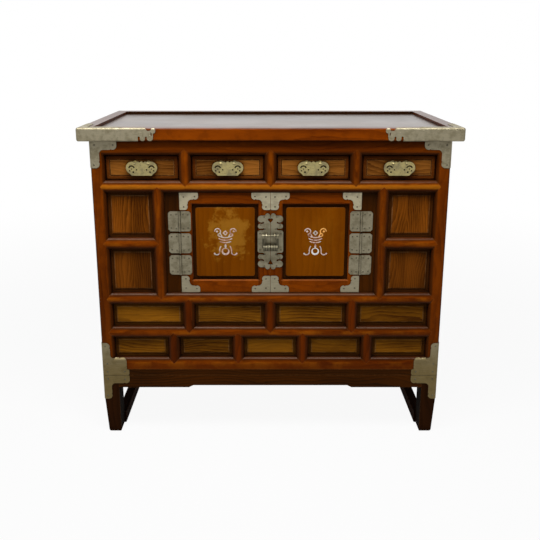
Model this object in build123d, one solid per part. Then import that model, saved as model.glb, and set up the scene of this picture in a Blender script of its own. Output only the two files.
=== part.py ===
from build123d import *
import os

# A low Korean chest on an open stand, in millimetres.
# +X to the right, +Y to the back, +Z up. The origin is on the floor, under the middle of the chest.

# ---- driving dimensions ------------------------------------------------------------------------

total_height = 838.0
top_width = 956.0
top_depth = 478.0
top_thickness = 33.0
top_rim = 36.0              # width of the rims round the top boards
top_recess = 8.0            # how far the top boards lie below the rims
top_board_thickness = 12.0
top_seam_x = 160.0          # the two seams between the three top boards
top_edge_round = 4.0

body_width = 900.0
front_overhang = 16.0       # top edge in front of the crowns of the mouldings
back_overhang = 10.0
base_height = 169.5         # underside of the case, on the stand
base_thickness = 17.5
base_member = 44.0          # width of the base frame's members

moulding_depth = 12.0       # how far a half-round face stands out from its shoulders
member_width = 32.0         # rails and stiles
member_back = 24.0          # rails and stiles behind their shoulders
post_width = 34.0
post_depth = 42.0
post_round = 13.0           # width of the rounded inner half of a post's face
post_corner = 6.0

# heights of the rails' upper edges, and of the top rail's lower edge
drawer_rail_top = 703.0
wing_rail_top = 553.0
door_rail_top = 402.0
panel_rail_top = 307.5
bottom_rail_top = 219.0
top_rail_bottom = 766.0

drawer_stile_x = 215.0      # the outer two of three, the third stands at 0
door_stile_x = 286.0
lower_stile_x = (85.8, 257.4)
door_hinge_x = 233.0

metal = 1.2                 # thickness of the sheet fittings
nail_r = 2.4                # domed nails of the top's straps
nail_rise = 0.5
leaf_thickness = 1.5
panel_thickness = 9.0
panel_field = 2.5           # how far a panel's raised field stands out
panel_margin = 5.0          # flat border between a field and its opening
panel_slope = 6.0           # width of the slope round a field
panel_setback = 6.0         # margin of a panel behind the shoulders
groove = 6.0                # how far a panel enters its grooves

runner_height = 32.0
runner_width = 24.0
runner_inset = 22.0         # from the outer side of the legs
leg_width = 41.0
leg_depth = 46.0
leg_taper = 7.0             # how far a leg's outer side comes in at its foot
leg_taper_top = 98.0        # where it begins to come in, below the stand's plates
plate_gap = 0.5             # from the seam between case and stand to the plates beside it
apron_thickness = 20.0
apron_low = 133.5           # lower edge of the front apron at its ends
apron_high = 139.5          # and in its raised middle
apron_step_x = 208.0

door_gap = 0.8
seam_gap = 1.0              # between the two doors, and between the halves of the padlock
seam_bevel = 1.2            # how far the doors' meeting edges fall back from front to rear
door_thickness = 22.0
door_member = 31.0
door_panel_gap = 8.0        # sunk border between the door frame and the panel's field

drawer_gap = 1.0
drawer_front_thickness = 16.0
drawer_length = 370.0
drawer_wall = 8.0
drawer_bottom = 5.0
deck_thickness = 9.0

hinge_height = 53.0
hinge_pitch = 58.5
hinge_leaf = 29.0
hinge_barrel_r = 2.4
hinge_pin_r = 1.2
hinge_clearance = 0.08

pull_width = 78.0
pull_height = 36.0
pull_thickness = 2.2
pull_rod_r = 1.5
pull_post_x = 17.0

lock_width = 33.0           # half of the lock plate, from the seam
lock_height = 150.0
padlock_rod_r = 2.4
padlock_rod_z = 560.0
padlock_tube_r = 8.0
padlock_tube_z = 528.0
padlock_reach = 22.0        # from the seam to the outer end of either half

# ---- planes worked out from them ----------------------------------------------------------------

top_front_y = -top_depth / 2
top_back_y = top_depth / 2
top_under_z = total_height - top_thickness
crown_y = top_front_y + front_overhang          # foremost line of the mouldings
face_y = crown_y + moulding_depth               # shoulders of the mouldings and faces of the doors
member_back_y = face_y + member_back
body_back_y = top_back_y - back_overhang
half_body = body_width / 2
case_bottom_z = base_height + base_thickness
half_member = member_width / 2
post_inner_x = half_body - post_width
post_crown_x = half_body - post_width + post_round
panel_front_y = face_y + panel_setback
door_opening_x = door_stile_x - half_member
door_bottom_z = door_rail_top + door_gap
door_top_z = drawer_rail_top - member_width - door_gap
door_mid_z = (door_bottom_z + door_top_z) / 2
hinge_axis_y = face_y - 0.5 - hinge_barrel_r
lock_z = door_mid_z + 4.5
drawer_z = (drawer_rail_top + drawer_gap, top_rail_bottom - drawer_gap)
drawer_front_y = face_y + 2.0
drawer_mid_z = (drawer_rail_top + top_rail_bottom) / 2
pull_axis_y = drawer_front_y - 7.5
pull_axis_z = drawer_mid_z + 11.5
padlock_y = face_y - leaf_thickness - 13.5
side_rail_heights = (
    (case_bottom_z, bottom_rail_top),
    (door_rail_top - member_width, door_rail_top),
    (drawer_rail_top - member_width, drawer_rail_top),
    (top_rail_bottom, top_under_z),
)


# ---- helpers ------------------------------------------------------------------------------------

def block(x, y, z):
    """A box between two corners, given as a (low, high) pair for each axis."""
    pairs = [sorted(pair) for pair in (x, y, z)]
    sizes = [high - low for low, high in pairs]
    middle = [(low + high) / 2 for low, high in pairs]
    return Pos(*middle) * Box(*sizes)


def flat_face(points):
    """A face with straight sides in the XY plane."""
    return make_face(Polyline(*points, close=True))


def rectangle(low, high):
    """A rectangle between two corners in the XY plane."""
    middle = Pos((low[0] + high[0]) / 2, (low[1] + high[1]) / 2)
    return middle * Rectangle(high[0] - low[0], high[1] - low[1])


def disc(x, y, radius):
    """A disc in the XY plane."""
    return Pos(x, y) * Circle(radius)


def facing_front(outline, y_front, depth):
    """Stand an XY outline up in XZ, with its front at y_front, and give it depth to the back."""
    plane = Plane(origin=(0, y_front + depth, 0), x_dir=(1, 0, 0), z_dir=(0, -1, 0))
    return extrude(plane * outline, depth)


def facing_side(outline, x_low, depth):
    """Stand an outline of (y, z) points up in the YZ plane, from x_low to x_low + depth."""
    plane = Plane(origin=(x_low, 0, 0), x_dir=(0, 1, 0), z_dir=(1, 0, 0))
    return extrude(plane * outline, depth)


def mirrored(solid):
    """The same piece on the other side of the middle."""
    return mirror(solid, about=Plane.YZ)


def both_sides(solid):
    """A left piece and its right twin."""
    return [solid, mirrored(solid)]


def group(solids):
    """Separate solids kept together in one node."""
    pieces = []
    for item in solids:
        pieces += item.solids()
    return Compound(children=pieces)


# ---- mouldings ----------------------------------------------------------------------------------

def half_round_face(width, grow=0.0):
    """Section of a rail or stile: across is X, outwards is Y."""
    half = width / 2 + grow
    crown = EllipticalCenterArc((0, 0), half, moulding_depth + grow, 0, arc_size=180)
    back = Polyline((-half, 0), (-half, -member_back), (half, -member_back), (half, 0))
    return make_face(crown + back)


def rail(z_middle, x_low, x_high, grow=0.0):
    """Half-round rail along X."""
    plane = Plane(origin=(x_low, face_y, z_middle), x_dir=(0, 0, 1), z_dir=(1, 0, 0))
    return extrude(plane * half_round_face(member_width, grow), x_high - x_low)


def stile(x_middle, z_low, z_high):
    """Half-round stile along Z, before its ends are cut."""
    plane = Plane(origin=(x_middle, face_y, z_low), x_dir=(-1, 0, 0), z_dir=(0, 0, 1))
    return extrude(plane * half_round_face(member_width), z_high - z_low)


def tip(base_a, base_b, apex):
    """V-shaped prism through the depth of a moulding, from three (x, z) points."""
    return facing_front(flat_face([base_a, base_b, apex]), crown_y - 2, moulding_depth + 2)


def rail_tips(z_middle, x_low, x_high, reach_low, reach_high):
    """The two V tips at a rail's ends, with their bases at x_low and x_high."""
    low, high = z_middle - half_member, z_middle + half_member
    left = tip((x_low, low), (x_low, high), (x_low - reach_low, z_middle))
    right = tip((x_high, low), (x_high, high), (x_high + reach_high, z_middle))
    return [left, right]


def stile_tips(x_middle, z_low, z_high):
    """The two V tips at a stile's ends, with their bases at z_low and z_high."""
    left, right = x_middle - half_member, x_middle + half_member
    lower = tip((left, z_low), (right, z_low), (x_middle, z_low - half_member))
    upper = tip((left, z_high), (right, z_high), (x_middle, z_high + half_member))
    return [lower, upper]


def tipped_rail(z_middle, x_low, x_high, reach_low, reach_high):
    """A rail between two shoulders whose V tips run on to its neighbours' crowns."""
    bar = rail(z_middle, x_low - reach_low, x_high + reach_high)
    height = (z_middle - half_member, z_middle + half_member)
    room = block((x_low, x_high), (crown_y - 2, member_back_y), height)
    for prism in rail_tips(z_middle, x_low, x_high, reach_low, reach_high):
        room += prism
    return bar & room


def tipped_stile(x_middle, z_low, z_high):
    """A stile between two rails whose V tips run on to the rails' crowns."""
    bar = stile(x_middle, z_low - half_member, z_high + half_member)
    width = (x_middle - half_member, x_middle + half_member)
    room = block(width, (crown_y - 2, member_back_y), (z_low, z_high))
    for prism in stile_tips(x_middle, z_low, z_high):
        room += prism
    return bar & room


def post_section(grow=0.0):
    """Section of the left front post in the XY plane: flat outer half, rounded inner half."""
    outer, inner = -half_body - grow, -post_inner_x + grow
    front, back = crown_y - grow, crown_y + post_depth
    crown = EllipticalCenterArc(
        (-post_crown_x, face_y), post_round + grow, moulding_depth + grow, 270, arc_size=90
    )
    sides = Polyline((inner, face_y), (inner, back), (outer, back), (outer, front), (-post_crown_x, front))
    section = make_face(crown + sides)
    corner = section.vertices().sort_by(Axis.Y)[:2].sort_by(Axis.X)[0]
    return fillet(corner, post_corner + grow)


def front_post(z_low, z_high, grow=0.0):
    """Left front post."""
    return extrude(Pos(0, 0, z_low) * post_section(grow), z_high - z_low)


def edge_rail(rounded_z, flat_z, x_low, x_high, grow=0.0):
    """Top or bottom rail: the half of its face towards the panels is rounded, the other half is flat."""
    turn = 1 if rounded_z > flat_z else -1
    edge, spring = rounded_z + turn * grow, rounded_z - turn * half_member
    start = 90 if turn > 0 else 180
    crown = EllipticalCenterArc(
        (face_y, spring), moulding_depth + grow, half_member + grow, start, arc_size=90
    )
    sides = Polyline((face_y, edge), (member_back_y, edge), (member_back_y, flat_z), (crown_y - grow, flat_z),
                     (crown_y - grow, spring))
    return facing_side(make_face(crown + sides), x_low, x_high - x_low)


def edge_rail_mitre(rounded_z, flat_z):
    """Prism of the left end of the top or bottom rail, where it meets the post's rounded half."""
    spring = rounded_z - half_member if rounded_z > flat_z else rounded_z + half_member
    outline = flat_face([(-post_inner_x, rounded_z), (-post_crown_x, spring), (-post_crown_x, flat_z),
                         (-post_inner_x, flat_z)])
    return facing_front(outline, crown_y - 2, moulding_depth + 2)


# ---- the case's frame -----------------------------------------------------------------------------

long_rail_middles = [edge - half_member for edge in (drawer_rail_top, door_rail_top, panel_rail_top)]
top_rail_z = (top_rail_bottom, top_under_z)         # rounded edge, flat edge
bottom_rail_z = (bottom_rail_top, case_bottom_z)
wing_rail_middle = wing_rail_top - half_member
post_reach = post_round

# every stile as (x of its middle, lower shoulder, upper shoulder)
upper_row_stiles = (-drawer_stile_x, 0.0, drawer_stile_x)
lower_row_stiles = [side * x for side in (-1, 1) for x in lower_stile_x]
drawer_stile_places = [(x, drawer_rail_top, top_rail_bottom) for x in upper_row_stiles]
door_stile_places = [
    (x, door_rail_top, drawer_rail_top - member_width) for x in (-door_stile_x, door_stile_x)
]
row_stile_places = [(x, panel_rail_top, door_rail_top - member_width) for x in upper_row_stiles]
row_stile_places += [(x, bottom_rail_top, panel_rail_top - member_width) for x in lower_row_stiles]
wing_rail_span = (-post_inner_x, -door_stile_x - half_member)


def make_rails():
    """The long rails, notched for the V tips of every stile."""
    notches = []
    for place in drawer_stile_places + door_stile_places + row_stile_places:
        notches += stile_tips(*place)
    inner = block((-post_inner_x, post_inner_x), (crown_y - 2, member_back_y), (0, total_height))
    edge_rails = []
    for place in (top_rail_z, bottom_rail_z):
        mitre = edge_rail_mitre(*place)
        edge_rails.append(
            edge_rail(*place, -post_crown_x, post_crown_x) & (inner + mitre + mirrored(mitre))
        )
    middle = [
        tipped_rail(z, -post_inner_x, post_inner_x, post_reach, post_reach) for z in long_rail_middles
    ]
    for notch in notches:
        edge_rails = [bar - notch for bar in edge_rails]
        middle = [bar - notch for bar in middle]
    return edge_rails[0], middle, edge_rails[1]


def make_posts():
    """Front posts, notched for the ends of the rails that meet them."""
    post = front_post(case_bottom_z, top_under_z)
    for z in long_rail_middles + [wing_rail_middle]:
        post -= rail_tips(z, -post_inner_x, post_inner_x, post_reach, post_reach)[0]
    for place in (top_rail_z, bottom_rail_z):
        post -= edge_rail_mitre(*place)
    return group(both_sides(post))


def make_door_stiles():
    """Stiles beside the door opening, notched for the wing rails."""
    stiles = []
    for place in door_stile_places:
        bar = tipped_stile(*place)
        notch = rail_tips(wing_rail_middle, *wing_rail_span, post_reach, half_member)[1]
        stiles.append(bar - notch - mirrored(notch))
    return group(stiles)


def raised_field(plane, low, high, rise):
    """Field of a panel whose opening on the plane runs from low to high: it slopes up all round."""
    foot_low, foot_high = [v + panel_margin for v in low], [v - panel_margin for v in high]
    crown_low, crown_high = [v + panel_slope for v in foot_low], [v - panel_slope for v in foot_high]
    foot = plane * rectangle(foot_low, foot_high)
    crown = plane.offset(rise) * rectangle(crown_low, crown_high)
    return loft([foot, crown], ruled=True)


def panel(x, z):
    """A panel with a raised field, let into grooves round the opening x by z."""
    board = block(
        (x[0] - groove, x[1] + groove), (panel_front_y, panel_front_y + panel_thickness),
        (z[0] - groove, z[1] + groove),
    )
    face = Plane(origin=(0, panel_front_y, 0), x_dir=(1, 0, 0), z_dir=(0, -1, 0))
    return board + raised_field(face, (x[0], z[0]), (x[1], z[1]), panel_field)


def openings_between(stops, z):
    """The openings left between stiles: stops are the stiles' middles."""
    edges = [-post_inner_x]
    for x in sorted(stops):
        edges += [x - half_member, x + half_member]
    edges.append(post_inner_x)
    return [((edges[i], edges[i + 1]), z) for i in range(0, len(edges), 2)]


drawer_openings = openings_between(upper_row_stiles, (drawer_rail_top, top_rail_bottom))
row_openings = openings_between(upper_row_stiles, (panel_rail_top, door_rail_top - member_width))
row_openings += openings_between(lower_row_stiles, (bottom_rail_top, panel_rail_top - member_width))
wing_openings = [
    (wing_rail_span, (door_rail_top, wing_rail_top - member_width)),
    (wing_rail_span, (wing_rail_top, drawer_rail_top - member_width)),
]


def grooved(solid, boards):
    """Cut the grooves that hold panels, or anything else that is let in."""
    for board in boards:
        solid = solid - board
    return solid


# ---- sides and back --------------------------------------------------------------------------------

side_rail_depth = 22.0
side_y = (crown_y + post_depth, body_back_y - post_depth)


def make_sides():
    """Rails and panels of the two sides."""
    rails = [block((-half_body, -half_body + side_rail_depth), side_y, z) for z in side_rail_heights]
    panels = []
    for below, above in zip(side_rail_heights, side_rail_heights[1:]):
        z = (below[1], above[0])
        plate = block(
            (-half_body + panel_setback, -half_body + panel_setback + panel_thickness),
            (side_y[0] - groove, side_y[1] + groove), (z[0] - groove, z[1] + groove),
        )
        face = Plane(origin=(-half_body + panel_setback, 0, 0), x_dir=(0, 1, 0), z_dir=(1, 0, 0))
        panels.append(plate + raised_field(face, (side_y[0], z[0]), (side_y[1], z[1]), -panel_field))
    rails = [grooved(bar, panels) for bar in rails]
    return rails, panels


def make_back():
    """Back rails, a middle muntin, and the boards between them."""
    y = (body_back_y - side_rail_depth, body_back_y)
    heights = [side_rail_heights[0], side_rail_heights[2], side_rail_heights[3]]
    rails = [block((-post_inner_x, post_inner_x), y, z) for z in heights]
    muntin = block((-half_member, half_member), y, (heights[0][1], heights[1][0]))
    spans = [((-post_inner_x, -half_member), heights[0], heights[1])]
    spans.append(((half_member, post_inner_x), heights[0], heights[1]))
    spans.append(((-post_inner_x, post_inner_x), heights[1], heights[2]))
    boards = []
    for x, below, above in spans:
        boards.append(block(
            (x[0] - groove, x[1] + groove),
            (body_back_y - panel_setback - panel_thickness, body_back_y - panel_setback),
            (below[1] - groove, above[0] + groove),
        ))
    rails = [grooved(bar, boards) for bar in rails + [muntin]]
    return rails, boards


def make_back_posts(boards):
    """Square back posts with rounded outer corners."""
    post = block(
        (-half_body, -post_inner_x), (body_back_y - post_depth, body_back_y), (case_bottom_z, top_under_z)
    )
    corner = post.edges().filter_by(Axis.Z).sort_by(Axis.Y)[-2:].sort_by(Axis.X)[0]
    post = fillet(corner, post_corner)
    return group([grooved(item, boards) for item in both_sides(post)])


# ---- inside -----------------------------------------------------------------------------------------

def board_in_case(z):
    """A board that fills the case inside its rails, cut round the four posts."""
    x = half_body - side_rail_depth
    board = block((-x, x), (member_back_y, body_back_y - side_rail_depth), z)
    for post_y in ((crown_y, crown_y + post_depth), (body_back_y - post_depth, body_back_y)):
        for post in both_sides(block((-half_body, -post_inner_x), post_y, z)):
            board -= post
    return board


def make_deck():
    """The deck under the drawers, with a guide between each pair of drawers and one at each side."""
    guide_height, guide_inset = 20.0, 2.0
    guide_z = (drawer_rail_top, drawer_rail_top + guide_height)
    guides = []
    for middle in upper_row_stiles:
        x = (middle - half_member + guide_inset, middle + half_member - guide_inset)
        guides.append(block(x, (member_back_y, side_y[1]), guide_z))
    edge = block((-half_body + side_rail_depth, -post_inner_x - guide_inset), side_y, guide_z)
    deck = board_in_case((drawer_rail_top - deck_thickness, drawer_rail_top))
    return group([deck] + guides + both_sides(edge))


def make_base():
    """The base frame that the posts stand on, and the board over it."""
    x, y = (-half_body, half_body), (crown_y, body_back_y)
    z = (base_height, case_bottom_z)
    front = block(x, (y[0], y[0] + base_member), z)
    back = block(x, (y[1] - base_member, y[1]), z)
    side = block((x[0], x[0] + base_member), (y[0] + base_member, y[1] - base_member), z)
    corner_edges = front.edges().filter_by(Axis.Z).sort_by(Axis.Y)[:2]
    front = fillet(corner_edges, post_corner)
    board_thickness = 10.0
    board = board_in_case((case_bottom_z, case_bottom_z + board_thickness))
    return [front, back] + both_sides(side), board


# ---- the top ----------------------------------------------------------------------------------------

def rounded_slab(grow=0.0):
    """The top's outer shape with its edges rounded, grown for the fittings that wrap it."""
    inset = metal - grow
    half = top_width / 2 - nail_rise - inset
    slab = block(
        (-half, half), (top_front_y + nail_rise + inset, top_back_y),
        (top_under_z - grow, total_height - inset),
    )
    return fillet(slab.edges(), top_edge_round + grow)


def make_top():
    """Four mitred rims round three boards."""
    rim_z = total_height - metal
    slab = rounded_slab()
    half_top = top_width / 2
    inner_x, inner_y = half_top - top_rim, top_depth / 2 - top_rim
    tongue_reach, tongue_thickness = 8.0, 6.0
    board_z = (rim_z - top_recess - top_board_thickness, rim_z - top_recess)
    hollow = block((-inner_x, inner_x), (-inner_y, inner_y), (0, total_height + 1))
    whole = block((-inner_x, inner_x), (-inner_y, inner_y), board_z)
    whole += block(
        (-inner_x - tongue_reach, inner_x + tongue_reach), (-inner_y - tongue_reach, inner_y + tongue_reach),
        (board_z[0], board_z[0] + tongue_thickness),
    )
    cuts = [-half_top, -top_seam_x, top_seam_x, half_top]
    boards = [whole & block((a, b), (top_front_y, top_back_y), board_z) for a, b in zip(cuts, cuts[1:])]
    frame = grooved(slab - hollow, boards)
    reach = 2 * top_rim
    left = flat_face([
        (-inner_x, -inner_y), (-inner_x - reach, -inner_y - reach),
        (-inner_x - reach, inner_y + reach), (-inner_x, inner_y),
    ])
    left = extrude(Pos(0, 0, top_under_z - top_thickness) * left, 3 * top_thickness)
    sides = [frame & left, frame & mirrored(left)]
    rest = frame - left - mirrored(left)
    return group(sides + [rest]), boards


def scalloped_strap(length, height):
    """Outline of a top strap from its corner at 0: notched cloud end, (along, up) from the lower corner."""
    lobe_top = 9.0
    body = rectangle((0, 0), (length - 44, height)) + rectangle((0, lobe_top), (length - 12, height))
    for back, up, radius in ((32.5, 6.4, 6.4), (14.5, 7.4, 7.4), (6.5, height - 7.5, 6.5)):
        body += disc(length - back, up, radius)
        body += rectangle((length - back - 3, up), (length - back, lobe_top + 1))
    for back, radius in ((41.4, 2.6), (24.0, 2.2)):
        body -= disc(length - back, lobe_top, radius)
    notch = flat_face([(length - 28, height + 1), (length - 20, height - 8), (length - 12, height - 7),
                       (length - 9, height + 1)])
    return body - notch


def nail_dome():
    """Domed nail head on the XY plane, with a short root below it."""
    ball_r = (nail_r ** 2 + nail_rise ** 2) / (2 * nail_rise)
    root = 0.4
    return Pos(0, 0, nail_rise - ball_r) * Sphere(ball_r) & Pos(0, 0, (nail_rise - root) / 2) * Cylinder(
        nail_r, nail_rise + root
    )


def make_top_plates():
    """Straps that wrap the two front corners of the top: front, side, upper face and a lip below."""
    shell = rounded_slab(metal) - rounded_slab()
    front_length, side_length = 196.0, 120.0
    corner_x, corner_y = -top_width / 2 + nail_rise, top_front_y + nail_rise
    front = Pos(corner_x, top_under_z) * scalloped_strap(front_length, top_thickness)
    front = facing_front(front, corner_y - 1, top_edge_round + 3)
    side = Pos(corner_y, top_under_z) * scalloped_strap(side_length, top_thickness)
    side = facing_side(side, corner_x - 1, top_edge_round + 3)
    over = rectangle((corner_x, corner_y), (corner_x + 96, corner_y + 24))
    over += rectangle((corner_x, corner_y), (corner_x + 24, corner_y + 80))
    over += disc(corner_x + 96, corner_y + 12, 12) + disc(corner_x + 12, corner_y + 80, 12)
    over = extrude(Pos(0, 0, total_height - top_edge_round - 2) * over, 10)
    lip_depth, lip_z = 12.0, (0, top_under_z + 3)
    lip = block((corner_x, corner_x + front_length - 45), (corner_y - 1, corner_y + lip_depth), lip_z)
    lip += block((corner_x - 1, corner_x + lip_depth), (corner_y, corner_y + side_length - 45), lip_z)
    strap = shell & (front + side + over + lip)
    for along, up in ((23, 26), (103, 26), (104, 9), (160, 21), (181.5, 13)):
        place = Plane(origin=(corner_x + along, corner_y, top_under_z + up), z_dir=(0, -1, 0))
        strap += place * nail_dome()
    for along, up in ((23, 26), (62, 8), (84, 22)):
        place = Plane(origin=(corner_x, corner_y + along, top_under_z + up), z_dir=(-1, 0, 0))
        strap += place * nail_dome()
    return group(both_sides(strap))


# ---- corner plates of the case ----------------------------------------------------------------------

def elbow(along, up, arm_along, arm_up):
    """Elbow outline, outer corner at 0: arms of given lengths and widths, rounded ends, coved inside."""
    cove = 10.0
    shape = rectangle((0, 0), (along, arm_along)) + rectangle((0, 0), (arm_up, up))
    shape += rectangle((0, 0), (arm_up + cove, arm_along + cove))
    shape -= disc(arm_up + cove, arm_along + cove, cove)
    ends = [v for v in shape.vertices() if v.X > along - 0.01 or v.Y > up - 0.01]
    inner = [v for v in ends if v.X > 0.01 and v.Y > 0.01]
    shape = fillet(inner, min(arm_along, arm_up) * 0.45)
    outer = [v for v in shape.vertices() if v.X > along - 0.01 and v.Y < 0.01]
    outer += [v for v in shape.vertices() if v.Y > up - 0.01 and v.X < 0.01]
    shape = fillet(outer, 3.0)
    lobe = 2.2
    shape -= disc(along - arm_along * 0.62, arm_along + 0.6, lobe)
    shape -= disc(arm_up + 0.6, up - arm_up * 0.62, lobe)
    return shape


def corner_room(outline, corner_z, upward):
    """Room round the left front corner of the case: one outline in front and its twin on the side."""
    turn = 1 if upward else -1
    front = Pos(-half_body - metal, corner_z) * scale(outline, (1, turn, 1))
    side = Pos(crown_y - metal, corner_z) * scale(outline, (1, turn, 1))
    return facing_front(front, crown_y - 3, moulding_depth + 3) + facing_side(side, -half_body - 3, 9)


def bent_sheet(members, room):
    """Sheet metal that follows the members, given as (wood, wood grown by the metal), inside a room."""
    sheet = None
    for wood, grown in members:
        skin = (grown - wood) & room
        for other, _ in members:
            if other is not wood:
                skin -= other
        sheet = skin if sheet is None else sheet + skin
    return sheet


def corner_block(z, grow=0.0):
    """Left front corner of the base or the stand, as one block with a rounded upright edge."""
    reach = 90.0
    corner = block((-half_body - grow, -half_body + reach), (crown_y - grow, crown_y + reach), z)
    edge = corner.edges().filter_by(Axis.Z).sort_by(Axis.Y)[:2].sort_by(Axis.X)[0]
    return fillet(edge, post_corner + grow)


def make_body_plates():
    """Corner plates at the tops and bottoms of the posts, and on the base frame."""
    case_z = (case_bottom_z, top_under_z)
    post = (front_post(*case_z), front_post(*case_z, metal))
    span = (-post_crown_x, 0)
    top = (edge_rail(*top_rail_z, *span), edge_rail(*top_rail_z, *span, metal))
    bottom = (edge_rail(*bottom_rail_z, *span), edge_rail(*bottom_rail_z, *span, metal))
    side = (
        block((-half_body, -half_body + side_rail_depth), side_y, case_z),
        block((-half_body - metal, -half_body), side_y, case_z),
    )
    upper_room = corner_room(elbow(69, 69, 23, 25), top_under_z - 0.5, False)
    upper = bent_sheet([post, top, side], upper_room)
    lower = bent_sheet([post, bottom, side], corner_room(elbow(66, 76, 31, 23), case_bottom_z, True))
    base_z = (base_height, case_bottom_z)
    band = rectangle((0, plate_gap), (72, base_thickness))
    band = fillet(band.vertices().sort_by(Axis.X)[-2:], 5.0)
    corner = (corner_block(base_z), corner_block(base_z, metal))
    base = bent_sheet([corner], corner_room(band, base_height, True))
    return group(both_sides(upper) + both_sides(lower) + both_sides(base))


# ---- the stand ----------------------------------------------------------------------------------------

def make_stand():
    """Legs, the runners between their feet, and aprons."""
    foot_x, reach = -half_body + leg_taper, half_body - leg_width
    leg = flat_face([
        (-half_body, base_height), (-reach, base_height), (-reach, 0), (foot_x, 0),
        (-half_body, leg_taper_top),
    ])
    foot_round = 5.0
    front_leg = facing_front(leg, crown_y, leg_depth)
    outer_edges = [e for e in front_leg.faces().sort_by(Axis.Y)[0].edges() if e.center().X < foot_x]
    front_leg = fillet(outer_edges, post_corner)
    back_leg = facing_front(leg, body_back_y - leg_depth, leg_depth)
    legs = [fillet(item.edges().group_by(Axis.Z)[0], foot_round) for item in (front_leg, back_leg)]
    between_legs = (crown_y + leg_depth, body_back_y - leg_depth)
    runner_x = (-half_body + runner_inset, -half_body + runner_inset + runner_width)
    runner = block(runner_x, between_legs, (0, runner_height))
    runner = fillet(runner.edges().filter_by(Axis.Y).group_by(Axis.Z)[0], 4.0)
    slope = 12.0
    outline = flat_face([
        (-reach, base_height), (-reach, apron_low), (-apron_step_x - slope, apron_low),
        (-apron_step_x, apron_high), (apron_step_x, apron_high), (apron_step_x + slope, apron_low),
        (reach, apron_low), (reach, base_height),
    ])
    front_apron = facing_front(outline, crown_y, apron_thickness)
    back_apron = facing_front(outline, body_back_y - apron_thickness, apron_thickness)
    side_apron = block((-half_body, -half_body + apron_thickness), between_legs, (apron_low, base_height))
    return (both_sides(legs[0]) + both_sides(legs[1]), both_sides(runner),
            [front_apron, back_apron] + both_sides(side_apron))


def make_stand_plates():
    """Elbows that hang down the front legs from the stand's upper edge."""
    stand_z = (0, base_height)
    corner = (corner_block(stand_z), corner_block(stand_z, metal))
    plate = bent_sheet([corner], corner_room(elbow(72, 69, 23, 23), base_height - plate_gap, False))
    return group(both_sides(plate))


# ---- doors (the left one is drawn, the right one is its twin) ------------------------------------------

door_x = (-door_hinge_x + door_gap, -seam_gap / 2)
door_z = (door_bottom_z, door_top_z)
door_hole_x = (door_x[0] + door_member, door_x[1] - door_member)
door_hole_z = (door_z[0] + door_member + 3, door_z[1] - door_member)
door_field_x = (door_hole_x[0] + door_panel_gap, door_hole_x[1] - door_panel_gap)
door_field_z = (door_hole_z[0] + door_panel_gap, door_hole_z[1] - door_panel_gap)
door_panel_y = face_y + 3.5
door_field_rise = 4.0


def make_door_frame():
    """Four members with a coved inner edge, in two stiles and two rails."""
    slab = block(door_x, (face_y, face_y + door_thickness), door_z)
    rear_y = face_y + door_thickness
    bevel = flat_face([(door_x[1], face_y), (door_x[1], rear_y), (door_x[1] - seam_bevel, rear_y)])
    slab -= extrude(Pos(0, 0, door_z[0]) * bevel, door_z[1] - door_z[0])
    hole = block(door_hole_x, (face_y - 1, face_y + door_thickness + 1), door_hole_z)
    frame = slab - hole
    inner = [
        e for e in frame.faces().sort_by(Axis.Y)[0].edges()
        if door_hole_x[0] - 0.1 < e.center().X < door_hole_x[1] + 0.1
        and door_hole_z[0] - 0.1 < e.center().Z < door_hole_z[1] + 0.1
    ]
    frame = chamfer(inner, 3.0)
    board_y = door_panel_y + door_field_rise
    board = block(
        (door_hole_x[0] - groove, door_hole_x[1] + groove), (board_y, board_y + panel_thickness),
        (door_hole_z[0] - groove, door_hole_z[1] + groove),
    )
    frame -= board
    depth = (face_y, rear_y)
    left = frame & block((door_x[0], door_hole_x[0]), depth, door_z)
    right = frame & block((door_hole_x[1], door_x[1]), depth, door_z)
    middle = frame & block(door_hole_x, depth, door_z)
    return group([left, right, middle]), board


def make_door_panel(board, inlay):
    """Panel with a raised field, pocketed for the inlay."""
    field = block(door_field_x, (door_panel_y, door_panel_y + door_field_rise), door_field_z)
    field = fillet(field.edges().filter_by(Axis.Y), 7.0)
    edges = field.faces().sort_by(Axis.Y)[0].edges()
    return board + chamfer(edges, 1.5) - inlay


def make_inlay():
    """Scroll ornament in shell: paired volutes round a lozenge, crescents, a leaf, a ring and two tails."""
    band = 2.6
    shapes = [disc(0, -25, 10) - disc(0, -23.5, 6.6)]
    shapes.append(disc(-6.5, -10, 9) & disc(6.5, -10, 9))
    shapes.append(Pos(0, 25) * (Rot(0, 0, 45) * (Rectangle(10, 10) - Rectangle(4.8, 4.8))))
    for side in (-1, 1):
        shapes.append(trace(CenterArc((side * 20, 29), 7.6, 90 - side * 90, side * 270), band))
        shapes.append(disc(side * 21.5, 29, 2.6))
        shapes.append(trace(Line((side * 13.5, 24.5), (side * 7.5, 13)), band))
        shapes.append(trace(CenterArc((side * -3, -22), 18.5, 90 - side * 52, -side * 50), band))
        shapes.append(trace(CenterArc((side * 22.5, -27), 7.0, 90 + side * 90, side * 165), band))
        shapes.append(disc(side * 28.5, -31, 2.2))
    bow = 34.0
    for z, spread in ((12.5, 70), (5.5, 62), (-1.0, 50)):
        shapes.append(trace(CenterArc((0, z + bow), bow, 270 - spread / 2, spread), band))
    outline = Sketch() + shapes
    x = (door_field_x[0] + door_field_x[1]) / 2
    z = (door_field_z[0] + door_field_z[1]) / 2
    proud, sunk = 0.15, 0.85
    return facing_front(Pos(x, z) * outline, door_panel_y - proud, proud + sunk)


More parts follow.
